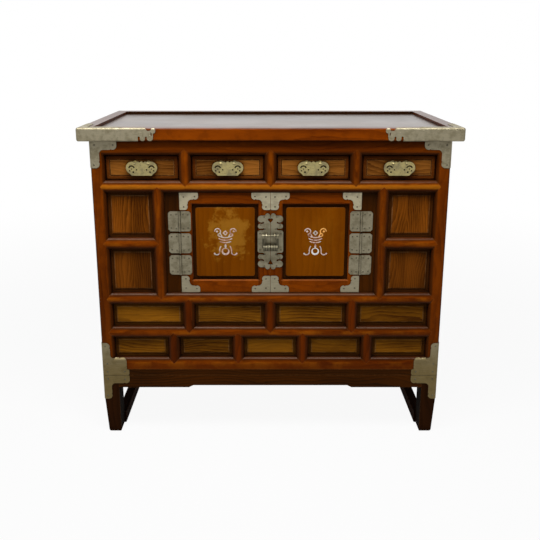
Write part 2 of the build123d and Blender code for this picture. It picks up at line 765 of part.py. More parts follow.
def make_door_plates():
    """Elbows on the four corners of the left door."""
    outline = elbow(48, 45, 18, 21)
    plates = []
    for x, turn_x in ((door_x[0], 1), (door_x[1], -1)):
        for z, turn_z in ((door_z[0], 1), (door_z[1], -1)):
            placed = Pos(x, z) * scale(outline, (turn_x, turn_z, 1))
            plates.append(facing_front(placed, face_y - metal, metal))
    return group(plates)


def lock_outline():
    """Left half of the lock plate: seam at 0, a broad middle, and cloud lobes above and below it."""
    half, middle, neck, neck_width = lock_height / 2, 30.0, 69.0, 22.0
    shape = rectangle((-lock_width, -middle), (0, middle))
    shape = fillet(shape.vertices().sort_by(Axis.X)[:2], 6.0)
    shape += rectangle((-neck_width, -neck), (0, neck))
    for turn in (-1, 1):
        for x, z, radius in ((-7.4, half - 6.0, 6.0), (-23.5, 60.3, 9.0), (-25.6, 41.0, 6.6)):
            shape += disc(x, turn * z, radius)
        for x, z, radius in ((-20.5, 49.4, 2.0), (-18.4, 50.6, 2.4), (-20.5, 32.2, 2.2), (-18.0, 33.6, 2.6)):
            shape -= disc(x, turn * z, radius)
    shape -= disc(-3.2, 58.5, 3.5) + flat_face([(0, 49.5), (-6.5, 57.5), (0, 58.5)])
    shape -= flat_face([(0, -48), (-7.2, -61.5), (0, -61.5)])
    return shape - rectangle((-seam_gap / 2, -half - 1), (1, half + 1))


def make_lock_plate():
    """Left half of the lock plate, with the staple that the padlock's rod goes through."""
    plate = facing_front(Pos(0, lock_z) * lock_outline(), face_y - leaf_thickness, leaf_thickness)
    staple_x = (-12.5, -9.0)
    ring_r = 5.6
    eye = facing_side(disc(padlock_y, padlock_rod_z, ring_r), staple_x[0], staple_x[1] - staple_x[0])
    stem = block(staple_x, (padlock_y, face_y - leaf_thickness / 2), (padlock_rod_z - 3, padlock_rod_z + 3))
    hole = facing_side(disc(padlock_y, padlock_rod_z, padlock_rod_r + 0.4), staple_x[0] - 1, 10)
    return plate + (eye + stem - hole)


def barrel(z, radius):
    """A piece of hinge barrel on the left door's hinge line."""
    return Pos(-door_hinge_x, hinge_axis_y, (z[0] + z[1]) / 2) * Cylinder(radius, z[1] - z[0])


def make_hinges():
    """Three hinges of the left door: fixed leaves, moving leaves, pins."""
    fixed, moving, pins = [], [], []
    knuckles = 5
    slack = 0.15
    for step in (-1, 0, 1):
        z_mid = door_mid_z + step * hinge_pitch
        z = (z_mid - hinge_height / 2, z_mid + hinge_height / 2)
        knuckle = hinge_height / knuckles
        leaves = []
        for side in (-1, 1):
            inner = -door_hinge_x + side * (hinge_barrel_r + 0.6)
            outer = -door_hinge_x + side * hinge_leaf
            leaf = rectangle((min(inner, outer), z[0]), (max(inner, outer), z[1]))
            ends = leaf.vertices().sort_by(Axis.X)[:2] if side < 0 else leaf.vertices().sort_by(Axis.X)[-2:]
            leaves.append(facing_front(chamfer(ends, 5.0), face_y - leaf_thickness, leaf_thickness))
        for i in range(knuckles):
            side = -1 if i % 2 == 0 else 1
            span = (z[0] + i * knuckle + slack, z[0] + (i + 1) * knuckle - slack)
            inner = -door_hinge_x + side * (hinge_barrel_r + 0.7)
            web = block((-door_hinge_x, inner), (hinge_axis_y + 0.6, face_y), span)
            index = 0 if side < 0 else 1
            bore = hinge_pin_r if side < 0 else hinge_pin_r + hinge_clearance
            leaves[index] += (barrel(span, hinge_barrel_r) + web) - barrel((span[0] - 1, span[1] + 1), bore)
        fixed.append(leaves[0])
        moving.append(leaves[1])
        pins.append(barrel((z[0] + slack, z[1] - slack), hinge_pin_r))
    return fixed, moving, pins


# ---- padlock --------------------------------------------------------------------------------------------

def make_padlock():
    """Left part of the padlock: half the tube, its upright, and the rod through the staple."""
    x = (-padlock_reach, -seam_gap / 2)
    rod = facing_side(disc(padlock_y, padlock_rod_z, padlock_rod_r), x[0], x[1] - x[0])
    tube = facing_side(disc(padlock_y, padlock_tube_z, padlock_tube_r), x[0] + 3, x[1] - x[0] - 3)
    tube = chamfer(tube.edges().sort_by(Axis.X)[0], 2.0)
    arm_x, arm_width, arm_r = x[0] + 1, 5.5, 4.2
    arm_z = (padlock_tube_z, padlock_rod_z)
    upright = block((arm_x, arm_x + arm_width), (padlock_y - arm_r, padlock_y + arm_r), arm_z)
    crown = facing_side(disc(padlock_y, padlock_rod_z, arm_r), arm_x, arm_width)
    return rod + tube + upright + crown


# ---- drawers ----------------------------------------------------------------------------------------------

def drawer_parts(x):
    """Front, box, eye posts and pull of the drawer in the opening x."""
    low, high = x[0] + drawer_gap, x[1] - drawer_gap
    back_of_front = drawer_front_y + drawer_front_thickness
    front = block((low, high), (drawer_front_y, back_of_front), drawer_z)
    front = fillet(front.faces().sort_by(Axis.Y)[0].edges(), 2.5)
    rim, bead, sunk_depth, field_depth = 9.5, 2.2, 1.8, 0.3
    sunk = block(
        (low + rim, high - rim), (drawer_front_y, drawer_front_y + sunk_depth),
        (drawer_z[0] + rim, drawer_z[1] - rim),
    )
    inside = rim + bead
    kept = block(
        (low + inside, high - inside), (drawer_front_y + field_depth, drawer_front_y + sunk_depth),
        (drawer_z[0] + inside, drawer_z[1] - inside),
    )
    front = front - sunk + kept
    y_end = back_of_front + drawer_length
    side_in = (low + 1, low + 1 + drawer_wall)
    side_out = (high - 1 - drawer_wall, high - 1)
    z_wall = (drawer_z[0], drawer_z[1] - 6)
    walls = [block(side, (back_of_front, y_end), z_wall) for side in (side_in, side_out)]
    walls.append(block((side_in[1], side_out[0]), (y_end - drawer_wall, y_end), z_wall))
    floor = (drawer_z[0] + 1, drawer_z[0] + 1 + drawer_bottom)
    walls.append(block((side_in[1], side_out[0]), (back_of_front, y_end - drawer_wall), floor))
    middle = (x[0] + x[1]) / 2
    posts = []
    for side in (-1, 1):
        eye_x = middle + side * pull_post_x
        face = drawer_front_y + field_depth
        eye = facing_side(disc(pull_axis_y, pull_axis_z, 3.4), eye_x - 1.6, 3.2)
        stem = block((eye_x - 1.6, eye_x + 1.6), (pull_axis_y, face), (pull_axis_z - 2, pull_axis_z + 2))
        hole = facing_side(disc(pull_axis_y, pull_axis_z, pull_rod_r + 0.08), eye_x - 3, 6)
        rose = Pos(eye_x, face - 0.5, pull_axis_z) * (Rot(90, 0, 0) * Cylinder(6.0, 1.0))
        posts.append((eye + stem - hole) + rose)
    plate = facing_front(
        Pos(middle, pull_axis_z) * pull_outline(), pull_axis_y - pull_thickness / 2, pull_thickness
    )
    for side in (-1, 1):
        eye_x = middle + side * pull_post_x
        plate += facing_side(disc(pull_axis_y, pull_axis_z, pull_rod_r), eye_x - 4, 8)
    return front, group(walls), group(posts), plate


def pull_outline():
    """Bat-shaped drop pull, hung from the line z = 0: lobed upper edge, straight foot, pierced wings."""
    half = pull_width / 2
    crest = 5.2
    foot = crest - pull_height
    wing = 15.5
    shape = rectangle((-half + wing, -20), (half - wing, 2.6))
    for side in (-1, 1):
        shape += disc(side * (half - wing), crest - 0.7 - wing, wing)
        shape += disc(side * 9.5, crest - 4.2, 3.8)
    shape += disc(0, crest - 3.8, 3.8)
    shape += flat_face([(-half + 4, -20), (-25, foot), (25, foot), (half - 4, -20)])
    for side in (-1, 1):
        shape -= rectangle((side * pull_post_x - 2.3, -4.2), (side * pull_post_x + 2.3, 6))
        shape -= trace(CenterArc((side * 25, -13), 6.8, 12, 156), 3.6)
        for x, z, radius in ((30, -18.5, 2.0), (21, -22, 2.4), (12.5, -16, 2.0), (25, -14, 1.6)):
            shape -= disc(side * x, z, radius)
    return shape


# ---- everything together -------------------------------------------------------------------------

def make_nodes():
    """All nodes by name."""
    nodes = {}
    front_panels = [panel(x, z) for x, z in wing_openings]
    wing_panels = front_panels + [mirrored(item) for item in front_panels]
    row_panels = [panel(x, z) for x, z in row_openings]
    side_rails, side_panels = make_sides()
    all_side_panels = side_panels + [mirrored(item) for item in side_panels]
    back_rails, back_boards = make_back()
    let_in = wing_panels + row_panels + all_side_panels + back_boards

    top_rail, middle_rails, bottom_rail = make_rails()
    nodes["front_posts"] = group([grooved(make_posts(), let_in)])
    nodes["back_posts"] = group([grooved(make_back_posts(back_boards), all_side_panels)])
    nodes["top_rail"] = top_rail
    nodes["middle_rails"] = group([grooved(bar, wing_panels + row_panels) for bar in middle_rails])
    nodes["bottom_rail"] = grooved(bottom_rail, row_panels)
    wing_rail = tipped_rail(wing_rail_middle, *wing_rail_span, post_reach, half_member)
    nodes["wing_rails"] = group([grooved(bar, wing_panels) for bar in both_sides(wing_rail)])
    nodes["drawer_stiles"] = group([tipped_stile(*place) for place in drawer_stile_places])
    nodes["door_opening_stiles"] = group([grooved(make_door_stiles(), wing_panels)])
    nodes["row_stiles"] = group([grooved(tipped_stile(*place), row_panels) for place in row_stile_places])
    hinge_stile = block(
        (-door_opening_x, -door_hinge_x), (face_y, member_back_y),
        (door_rail_top, drawer_rail_top - member_width),
    )
    nodes["hinge_stiles"] = group(both_sides(hinge_stile))
    nodes["wing_panels"] = group(wing_panels)
    nodes["row_panels"] = group(row_panels)
    nodes["side_rails"] = group(side_rails + [mirrored(bar) for bar in side_rails])
    nodes["side_panels"] = group(all_side_panels)
    nodes["back_rails"] = group(back_rails)
    nodes["back_panels"] = group(back_boards)
    nodes["drawer_deck"] = make_deck()
    base, board = make_base()
    nodes["base_frame"] = group(base)
    nodes["bottom_board"] = board
    nodes["top_frame"], top_boards = make_top()
    nodes["top_boards"] = group(top_boards)
    nodes["top_corner_plates"] = make_top_plates()
    nodes["body_corner_plates"] = make_body_plates()

    legs, runners, aprons = make_stand()
    nodes["stand_legs"] = group(legs)
    nodes["stand_runners"] = group(runners)
    nodes["stand_aprons"] = group(aprons)
    nodes["stand_corner_plates"] = make_stand_plates()

    fixed, moving, pins = make_hinges()
    nodes["fixed_hinge_leaves"] = group(fixed + [mirrored(item) for item in fixed])
    nodes["hinge_pins"] = group(pins + [mirrored(item) for item in pins])
    frame, board = make_door_frame()
    inlay = make_inlay()
    door = {
        "door_frame": frame,
        "door_panel": make_door_panel(board, inlay),
        "door_inlay": group([inlay]),
        "door_corner_plates": make_door_plates(),
        "lock_plate": make_lock_plate(),
        "hinge_leaves": group(moving),
    }
    for name, solid in door.items():
        nodes["left_" + name] = solid
        nodes["right_" + name] = mirrored(solid)
    nodes["padlock_bolt_half"] = make_padlock()
    nodes["padlock_case_half"] = mirrored(make_padlock())

    for number, (x, _) in enumerate(drawer_openings, start=1):
        front, box, posts, pull = drawer_parts(x)
        nodes[f"drawer_{number}_front"] = front
        nodes[f"drawer_{number}_box"] = box
        nodes[f"drawer_{number}_pull_posts"] = posts
        nodes[f"drawer_{number}_pull"] = pull
    return nodes


os.makedirs("parts", exist_ok=True)
for name, solid in make_nodes().items():
    export_step(solid, f"parts/{name}.step")
    print(name, len(solid.solids()), round(solid.volume))
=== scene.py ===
"""Dresses a low Korean chest on its stand: lacquered wood, elm, nickel-brass fittings and pearl inlay."""

import math

import bpy
from bpy.props import FloatProperty, FloatVectorProperty, PointerProperty
from mathutils import Matrix, Vector


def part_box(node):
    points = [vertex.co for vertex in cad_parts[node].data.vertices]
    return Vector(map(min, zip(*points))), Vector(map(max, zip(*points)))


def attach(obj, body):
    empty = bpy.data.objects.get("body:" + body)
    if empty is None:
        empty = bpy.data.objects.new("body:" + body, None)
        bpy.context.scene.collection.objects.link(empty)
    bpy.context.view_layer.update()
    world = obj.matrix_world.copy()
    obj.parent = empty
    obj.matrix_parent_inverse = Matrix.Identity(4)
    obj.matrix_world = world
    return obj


bl_info = {
    "name": "Korean Low Chest",
    "version": (1, 0, 0),
    "blender": (4, 5, 0),
    "location": "View3D > Sidebar > Chest",
    "description": "Finishes and small fittings for a low chest on a stand",
    "category": "Object",
}

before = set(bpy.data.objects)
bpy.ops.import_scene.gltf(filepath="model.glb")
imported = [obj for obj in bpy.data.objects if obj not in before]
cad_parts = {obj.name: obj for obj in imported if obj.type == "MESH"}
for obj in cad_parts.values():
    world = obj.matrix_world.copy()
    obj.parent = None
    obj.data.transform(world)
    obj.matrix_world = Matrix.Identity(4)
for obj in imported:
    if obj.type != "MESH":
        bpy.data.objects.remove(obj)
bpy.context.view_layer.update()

MM = 0.001
X, Y, Z = range(3)
DRAWERS = range(1, 5)


# ---- places that several pieces share, in metres ------------------------------------------------

def middle(node):
    """Middle of a CAD node's box."""
    low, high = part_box(node)
    return (low + high) / 2


CASE_MIDDLE_Y = middle("base_frame").y
DOOR_MIDDLE_X = middle("right_door_frame").x
DOOR_STILE_X = 84.8 * MM        # from a door's middle to just short of its stiles
LEAF_THICKNESS = 1.5 * MM
LEAF_FACE_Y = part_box("left_door_frame")[0].y - LEAF_THICKNESS
HINGE_STEP = 58.5 * MM          # from one hinge to the next


# ---- settings a user would change ---------------------------------------------------------------

def colour(name, description, default):
    """A colour property."""
    return FloatVectorProperty(
        name=name, description=description, default=default, subtype="COLOR", size=3, min=0.0, max=1.0
    )


def number(name, description, default, unit="NONE"):
    """A number property. A length is in metres."""
    return FloatProperty(name=name, description=description, default=default, unit=unit, min=0.0)


class WoodSettings(bpy.types.PropertyGroup):
    """Colours of the woods"""
    rail_light: colour("Rail light", "Lit lacquer on the rails", (0.182, 0.0350, 0.0006))
    rail_dark: colour("Rail dark", "Dark bands in the rails", (0.062, 0.0095, 0.0003))
    stile_light: colour("Stile light", "Lit lacquer on posts and stiles", (0.155, 0.0300, 0.0006))
    stile_dark: colour("Stile dark", "Dark bands in posts and stiles", (0.046, 0.0080, 0.0004))
    elm_light: colour("Elm light", "Soft early wood of the panels", (0.300, 0.1120, 0.0060))
    elm_dark: colour("Elm dark", "Hard late wood of the panels", (0.036, 0.0085, 0.0005))
    wing_light: colour("Wing elm light", "Redder elm beside the doors", (0.238, 0.0650, 0.0046))
    door_light: colour("Door panel light", "Light parts of the door panels", (0.155, 0.0400, 0.0003))
    door_dark: colour("Door panel dark", "Dark parts of the door panels", (0.075, 0.0165, 0.0002))
    worn: colour("Worn lacquer", "Where a door panel's lacquer is rubbed through", (0.360, 0.1700, 0.0180))
    dark_light: colour("Dark wood light", "Light parts of the dark wood below", (0.046, 0.0110, 0.0004))
    dark_dark: colour("Dark wood dark", "Dark parts of the dark wood below", (0.012, 0.0030, 0.0003))
    stand_light: colour("Stand light", "Light parts of the legs and runners", (0.024, 0.0075, 0.0022))
    stand_dark: colour("Stand dark", "Dark parts of the legs and runners", (0.008, 0.0030, 0.0012))
    inner_light: colour("Inner wood light", "Bare wood inside and behind", (0.330, 0.190, 0.0850))
    inner_dark: colour("Inner wood dark", "Grain of the bare wood", (0.170, 0.085, 0.0330))
    drawer_light: colour("Drawer light", "Soft wood of the drawers' fronts", (0.275, 0.098, 0.014))
    drawer_dark: colour("Drawer dark", "Hard wood of the drawers' fronts", (0.046, 0.0125, 0.0018))
    top_light: colour("Top light", "Light parts of the top boards", (0.078, 0.048, 0.0300))
    top_dark: colour("Top dark", "Dark parts of the top boards", (0.034, 0.018, 0.0110))
    # This colour darkens corners, gaps and recesses: soiling and old wax there, and painted shade where
    # shade falls.
    grime_and_shade: colour("Grime and shade", "Dirt and old wax in the corners", (0.0090, 0.0024, 0.0006))


class MetalSettings(bpy.types.PropertyGroup):
    """Colours of the metals, and the size of a nail"""
    plate: colour("Plate", "Nickel-brass sheet", (0.290, 0.255, 0.170))
    tarnish: colour("Tarnish", "Dull patches on the sheet", (0.170, 0.145, 0.085))
    pull: colour("Pull", "Yellower brass of the drawer pulls", (0.400, 0.330, 0.140))
    lock: colour("Padlock", "Darker brass of the padlock", (0.170, 0.150, 0.095))
    # Near the floor the sheet is partly yellower, partly darkened by painted shade.
    low_plate: colour("Low plate", "Yellower, darker sheet near the floor", (0.150, 0.108, 0.0400))
    nail_radius: number("Nail radius", "Radius of a nail head", 0.0022, "LENGTH")
    nail_rise: number("Nail rise", "Height of a nail head", 0.0010, "LENGTH")


class StageSettings(bpy.types.PropertyGroup):
    """The floor and the lamps"""
    floor: colour("Floor", "Floor under the chest", (0.50, 0.50, 0.50))
    floor_glow: number("Floor glow", "Share of plain white in the floor by the chest", 0.93)
    sky: number("Sky", "Level of the soft light all round", 0.18)
    overhead: number("Overhead", "Softbox over the chest", 52.0, "POWER")
    key: number("Key", "Softbox in front of the chest", 5.0, "POWER")


# ---- small helpers for node trees ---------------------------------------------------------------

MIX_SOCKETS = {"RGBA": (6, 7, 2), "VECTOR": (4, 5, 1)}     # the two inputs and the output of each kind


class Graph:
    """Short ways to add nodes to one tree and join them."""

    def __init__(self, tree):
        self.tree = tree

    def feed(self, socket, value):
        """Link a socket to another, or set it to a plain value."""
        if isinstance(value, bpy.types.NodeSocket):
            self.tree.links.new(value, socket)
        elif value is not None:
            if socket.type == "RGBA" and len(value) == 3:
                value = (*value, 1.0)
            socket.default_value = value

    def add(self, kind, inputs=None, **settings):
        """A node of a kind, with settings, and inputs given by name or number."""
        node = self.tree.nodes.new(kind)
        for key, value in settings.items():
            setattr(node, key, value)
        for key, value in (inputs or {}).items():
            self.feed(node.inputs[key], value)
        return node

    def math(self, operation, a, b=None, clamp=False):
        """A Math node's result."""
        return self.add("ShaderNodeMath", {0: a, 1: b}, operation=operation, use_clamp=clamp).outputs[0]

    def vector_math(self, operation, a, b=None):
        """A Vector Math node's vector."""
        return self.add("ShaderNodeVectorMath", {0: a, 1: b}, operation=operation).outputs["Vector"]

    def length(self, vector):
        """A vector's length."""
        return self.add("ShaderNodeVectorMath", {0: vector}, operation="LENGTH").outputs["Value"]

    def stretch(self, vector, scale):
        """A vector scaled along its axes."""
        return self.add("ShaderNodeMapping", {"Vector": vector, "Scale": scale}).outputs[0]

    def noise(self, vector, scale=1.0, detail=2.0, roughness=0.5, distortion=0.0):
        """A noise texture's value."""
        inputs = {"Vector": vector, "Scale": scale, "Detail": detail, "Roughness": roughness}
        return self.add("ShaderNodeTexNoise", {**inputs, "Distortion": distortion}).outputs[0]

    def ramp(self, value, low, high, to_low=0.0, to_high=1.0, smooth=True):
        """A value moved from one range to another and held inside it."""
        node = self.add(
            "ShaderNodeMapRange", {0: value, 1: low, 2: high, 3: to_low, 4: to_high},
            interpolation_type="SMOOTHSTEP" if smooth else "LINEAR", clamp=True,
        )
        return node.outputs[0]

    def mix(self, factor, a, b, kind="RGBA"):
        """A colour mixed from two, or a vector where kind is VECTOR."""
        first, second, result = MIX_SOCKETS[kind]
        return self.add("ShaderNodeMix", {0: factor, first: a, second: b}, data_type=kind).outputs[result]

    def parts(self, vector):
        """A vector's x, y and z."""
        return self.add("ShaderNodeSeparateXYZ", {0: vector}).outputs

    def reorder(self, vector, order):
        """A vector with its axes in another order, such as zyx."""
        parts = self.parts(vector)
        picked = {i: parts["xyz".index(axis)] for i, axis in enumerate(order)}
        return self.add("ShaderNodeCombineXYZ", picked).outputs[0]

    def group(self, name, **inputs):
        """A shared node group placed in this tree."""
        node = self.add("ShaderNodeGroup", node_tree=bpy.data.node_groups[name])
        for key, value in inputs.items():
            self.feed(node.inputs[key], value)
        return node.outputs


def new_group(name, inputs, outputs):
    """An empty node group: its graph, the sockets that give its inputs and those that take its outputs."""
    tree = bpy.data.node_groups.new(name, "ShaderNodeTree")
    for label, kind, default in inputs:
        socket = tree.interface.new_socket(label, in_out="INPUT", socket_type=kind)
        if default is not None:
            socket.default_value = default
    for label, kind in outputs:
        tree.interface.new_socket(label, in_out="OUTPUT", socket_type=kind)
    graph = Graph(tree)
    return graph, graph.add("NodeGroupInput").outputs, graph.add("NodeGroupOutput").inputs


FLOAT, VECTOR = "NodeSocketFloat", "NodeSocketVector"


def build_grain_group():
    """Grain that runs along x: dark growth lines, fine fibres and slow clouds of tone."""
    g, given, out = new_group(
        "Wood grain",
        [("Vector", VECTOR, None), ("Wild", FLOAT, 4.0), ("Straight", FLOAT, 120.0), ("Seed", FLOAT, 0.0),
         ("Sharp", FLOAT, 2.2)],
        [("Line", FLOAT), ("Fibre", FLOAT), ("Tone", FLOAT)],
    )
    drift = g.add("ShaderNodeCombineXYZ", {0: given["Seed"], 1: given["Seed"], 2: given["Seed"]}).outputs[0]
    place = g.vector_math("ADD", given["Vector"], drift)
    wide = g.noise(g.stretch(place, (5.0, 17.0, 17.0)), detail=1.5, roughness=0.45)
    ragged = g.noise(g.stretch(place, (30.0, 260.0, 260.0)), detail=2.0)
    parts = g.parts(given["Vector"])
    across = g.math("ADD", parts[Z], g.math("MULTIPLY", parts[Y], 0.45))
    count = g.math("MULTIPLY", across, given["Straight"])
    count = g.math("ADD", count, g.math("MULTIPLY", wide, given["Wild"]))
    count = g.math("ADD", count, g.math("MULTIPLY", ragged, 0.45))
    saw = g.math("FRACT", count)
    line = g.math("MULTIPLY", g.math("POWER", saw, given["Sharp"]), g.ramp(saw, 1.0, 0.90))
    strength = g.ramp(g.noise(g.stretch(place, (6.0, 40.0, 40.0))), 0.25, 0.65, 0.35, 1.0)
    g.feed(out["Line"], g.math("MULTIPLY", line, strength))
    g.feed(out["Fibre"], g.noise(g.stretch(place, (45.0, 1500.0, 1500.0)), detail=2.0, roughness=0.6))
    g.feed(out["Tone"], g.ramp(g.noise(g.stretch(place, (3.0, 13.0, 13.0)), detail=2.0), 0.3, 0.7))


def build_seed_group():
    """A number for each cell of a grid, so that neighbouring boards don't share one grain."""
    g, given, out = new_group(
        "Board cut",
        [("Vector", VECTOR, None), ("Size", VECTOR, (1.0, 1.0, 1.0)), ("Shift", VECTOR, (0.0, 0.0, 0.0))],
        [("Seed", FLOAT)],
    )
    cell = g.vector_math("DIVIDE", given["Vector"], given["Size"])
    cell = g.vector_math("FLOOR", g.vector_math("ADD", cell, given["Shift"]))
    g.feed(out["Seed"], g.add("ShaderNodeTexWhiteNoise", {"Vector": cell}, noise_dimensions="3D").outputs[0])


def build_edge_group():
    """Mask of edges, broken up by noise. On metal it marks rubbed wear; on wood, rubbed wear and a painted
    highlight.
    """
    g, given, out = new_group(
        "Rubbed edge",
        [("Vector", VECTOR, None), ("Width", FLOAT, 0.0012)],
        [("Mask", FLOAT)],
    )
    rounded = g.add("ShaderNodeBevel", {"Radius": given["Width"]}, samples=4).outputs[0]
    flat = g.add("ShaderNodeNewGeometry").outputs["Normal"]
    match = g.add("ShaderNodeVectorMath", {0: rounded, 1: flat}, operation="DOT_PRODUCT").outputs["Value"]
    edge = g.ramp(match, 0.985, 0.80)
    broken = g.ramp(g.noise(given["Vector"], 90.0, detail=3.0), 0.30, 0.62, 0.25, 1.0)
    g.feed(out["Mask"], g.math("MULTIPLY", edge, broken))


def build_crevice_group():
    """Mask of corners and gaps, from ambient occlusion: soiling and old wax gather there, and it also paints
    shade where shade falls.
    """
    g, given, out = new_group(
        "Crevice",
        [("Vector", VECTOR, None), ("Reach", FLOAT, 0.012), ("Amount", FLOAT, 1.0)],
        [("Mask", FLOAT)],
    )
    open_share = g.add("ShaderNodeAmbientOcclusion", {"Distance": given["Reach"]}, samples=6).outputs["AO"]
    uneven = g.math("MULTIPLY", g.noise(given["Vector"], 60.0, detail=2.0), 0.25)
    mask = g.ramp(g.math("ADD", open_share, uneven), 1.05, 0.56)
    g.feed(out["Mask"], g.math("MULTIPLY", mask, given["Amount"]))


def build_patina_group():
    """Old sheet metal: dull patches, fine scratches and specks."""
    g, given, out = new_group(
        "Patina",
        [("Vector", VECTOR, None)],
        [("Dull", FLOAT), ("Scratch", FLOAT), ("Speck", FLOAT)],
    )
    cloud = g.noise(given["Vector"], 55.0, detail=4.0, roughness=0.6)
    g.feed(out["Dull"], g.ramp(cloud, 0.40, 0.68))
    scratch = None
    for turn in (0.35, 1.2, 2.3):
        turned = g.add(
            "ShaderNodeMapping",
            {"Vector": given["Vector"], "Rotation": (0.0, turn, 0.0), "Scale": (40.0, 40.0, 2600.0)},
        ).outputs[0]
        line = g.ramp(g.noise(turned, detail=0.0), 0.70, 0.78)
        scratch = line if scratch is None else g.math("MAXIMUM", scratch, line)
    g.feed(out["Scratch"], scratch)
    g.feed(out["Speck"], g.ramp(g.noise(given["Vector"], 420.0, detail=1.0), 0.66, 0.74))


def new_material(name):
    """A material with one shader: its graph, the Principled shader's inputs, and Object coordinates."""
    material = bpy.data.materials.new(name)
    material.use_nodes = True
    tree = material.node_tree
    tree.nodes.clear()
    g = Graph(tree)
    shader = g.add("ShaderNodeBsdfPrincipled")
    output = g.add("ShaderNodeOutputMaterial")
    g.feed(output.inputs["Surface"], shader.outputs[0])
    return material, g, shader.inputs, g.add("ShaderNodeTexCoord").outputs["Object"]


def tones(name):
    """The light and dark colours of a wood, from the settings."""
    settings = bpy.context.scene.chest_wood
    return tuple(getattr(settings, f"{name}_light")), tuple(getattr(settings, f"{name}_dark"))


def scaled(tint, share):
    """A colour made darker or lighter."""
    return tuple(min(1.0, share * c) for c in tint)


def assign(material, *names):
    """Put a material on the slots of CAD nodes."""
    for name in names:
        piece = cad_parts[name]
        if not piece.data.materials:
            piece.data.materials.append(material)
        for i in range(len(piece.data.materials)):
            piece.data.materials[i] = material


# ---- wood ---------------------------------------------------------------------------------------

BARE_WOOD = (0.50, 0.24, 0.09)
# Pale lines on bevels and beads: partly rubbed wear, partly painted highlight.
RUBBED_AND_HIGHLIGHT_LINE = (0.36, 0.19, 0.080)
# Painted shade, with some soiling: in hollows, on the flanks of mouldings and in the drawers' grooves.
HOLLOW_GRIME_AND_SHADE = (0.022, 0.0055, 0.0007)
# Painted shade in the sunk borders round the panels and the door panels.
PANEL_BORDER_SHADE = (0.046, 0.0135, 0.0026)
DOOR_PANEL_BORDER_SHADE = (0.016, 0.0038, 0.0004)
# Colours of painted highlights on the crowns of the mouldings, partly rubbed wear.
CROWN_HIGHLIGHT, FAINT_CROWN_HIGHLIGHT, GOLD_CROWN_HIGHLIGHT = (0.330, 0.0950, 0.0040), (0.330, 0.0850, 0.0030), (0.36, 0.120, 0.006)
LEG_SHADE = (0.003, 0.002, 0.0012)
WARM_GLOSS, WHITE_GLOSS = (1.0, 0.62, 0.25, 1.0), (1.0, 1.0, 1.0, 1.0)

# Grains: how far the lines wander, how many there are in a metre, and their contrast.
PLAIN, COARSE = (5.0, 60.0, 0.60), (7.0, 90.0, 0.9)
ELM, CALM_ELM = (8.5, 110.0, 0.50), (9.0, 150.0, 0.60)
BACK_BOARD, DOOR_PANEL = (6.0, 90.0, 0.7), (3.0, 60.0, 0.35)
TOP_RIM, TOP_BOARD = (2.5, 90.0, 0.7), (8.0, 70.0, 0.8)

WHOLE = 9.0                     # side of a cell that takes in the whole chest
LOWER_PITCH, UPPER_PITCH = 171.6 * MM, 215 * MM     # from one board to the next in each row


def cells(x=WHOLE, y=WHOLE, z=WHOLE, shift=(0.5, 0.5, 0.5)):
    """Grid of separate boards: the size of a cell, and its shift in cells."""
    return (x, y, z), shift


def board_seed(g, place, cut, cut_above):
    """A number for each board, which is 0 where the wood isn't cut."""
    seed = 0.0
    if cut is not None:
        size, shift = cut
        seed = g.group("Board cut", Vector=place, Size=size, Shift=shift)["Seed"]
    if cut_above is not None:
        height, (size, shift) = cut_above
        upper = g.group("Board cut", Vector=place, Size=size, Shift=shift)["Seed"]
        above = g.math("GREATER_THAN", g.parts(place)[Z], height)
        below = g.math("SUBTRACT", 1.0, above)
        seed = g.math("ADD", g.math("MULTIPLY", seed, below), g.math("MULTIPLY", upper, above))
    return seed


def add_wax(g, shader, place, amount):
    """A cloudy coat on the faces that look up."""
    upward = g.ramp(g.parts(g.add("ShaderNodeNewGeometry").outputs["Normal"])[Z], 0.35, 0.90)
    cloudy = g.ramp(g.noise(place, 9.0, detail=3.0), 0.35, 0.65, 0.65, 1.0)
    g.feed(shader["Coat Weight"], g.math("MULTIPLY", upward, g.math("MULTIPLY", cloudy, amount)))
    shader["Coat Roughness"].default_value = 0.30
    shader["Coat IOR"].default_value = 1.6


def lay(g, place, base, layers):
    """A colour with layers over it."""
    for mask, amount, tint in layers:
        base = g.mix(g.math("MULTIPLY", mask(g, place), amount), base, tint)
    return base


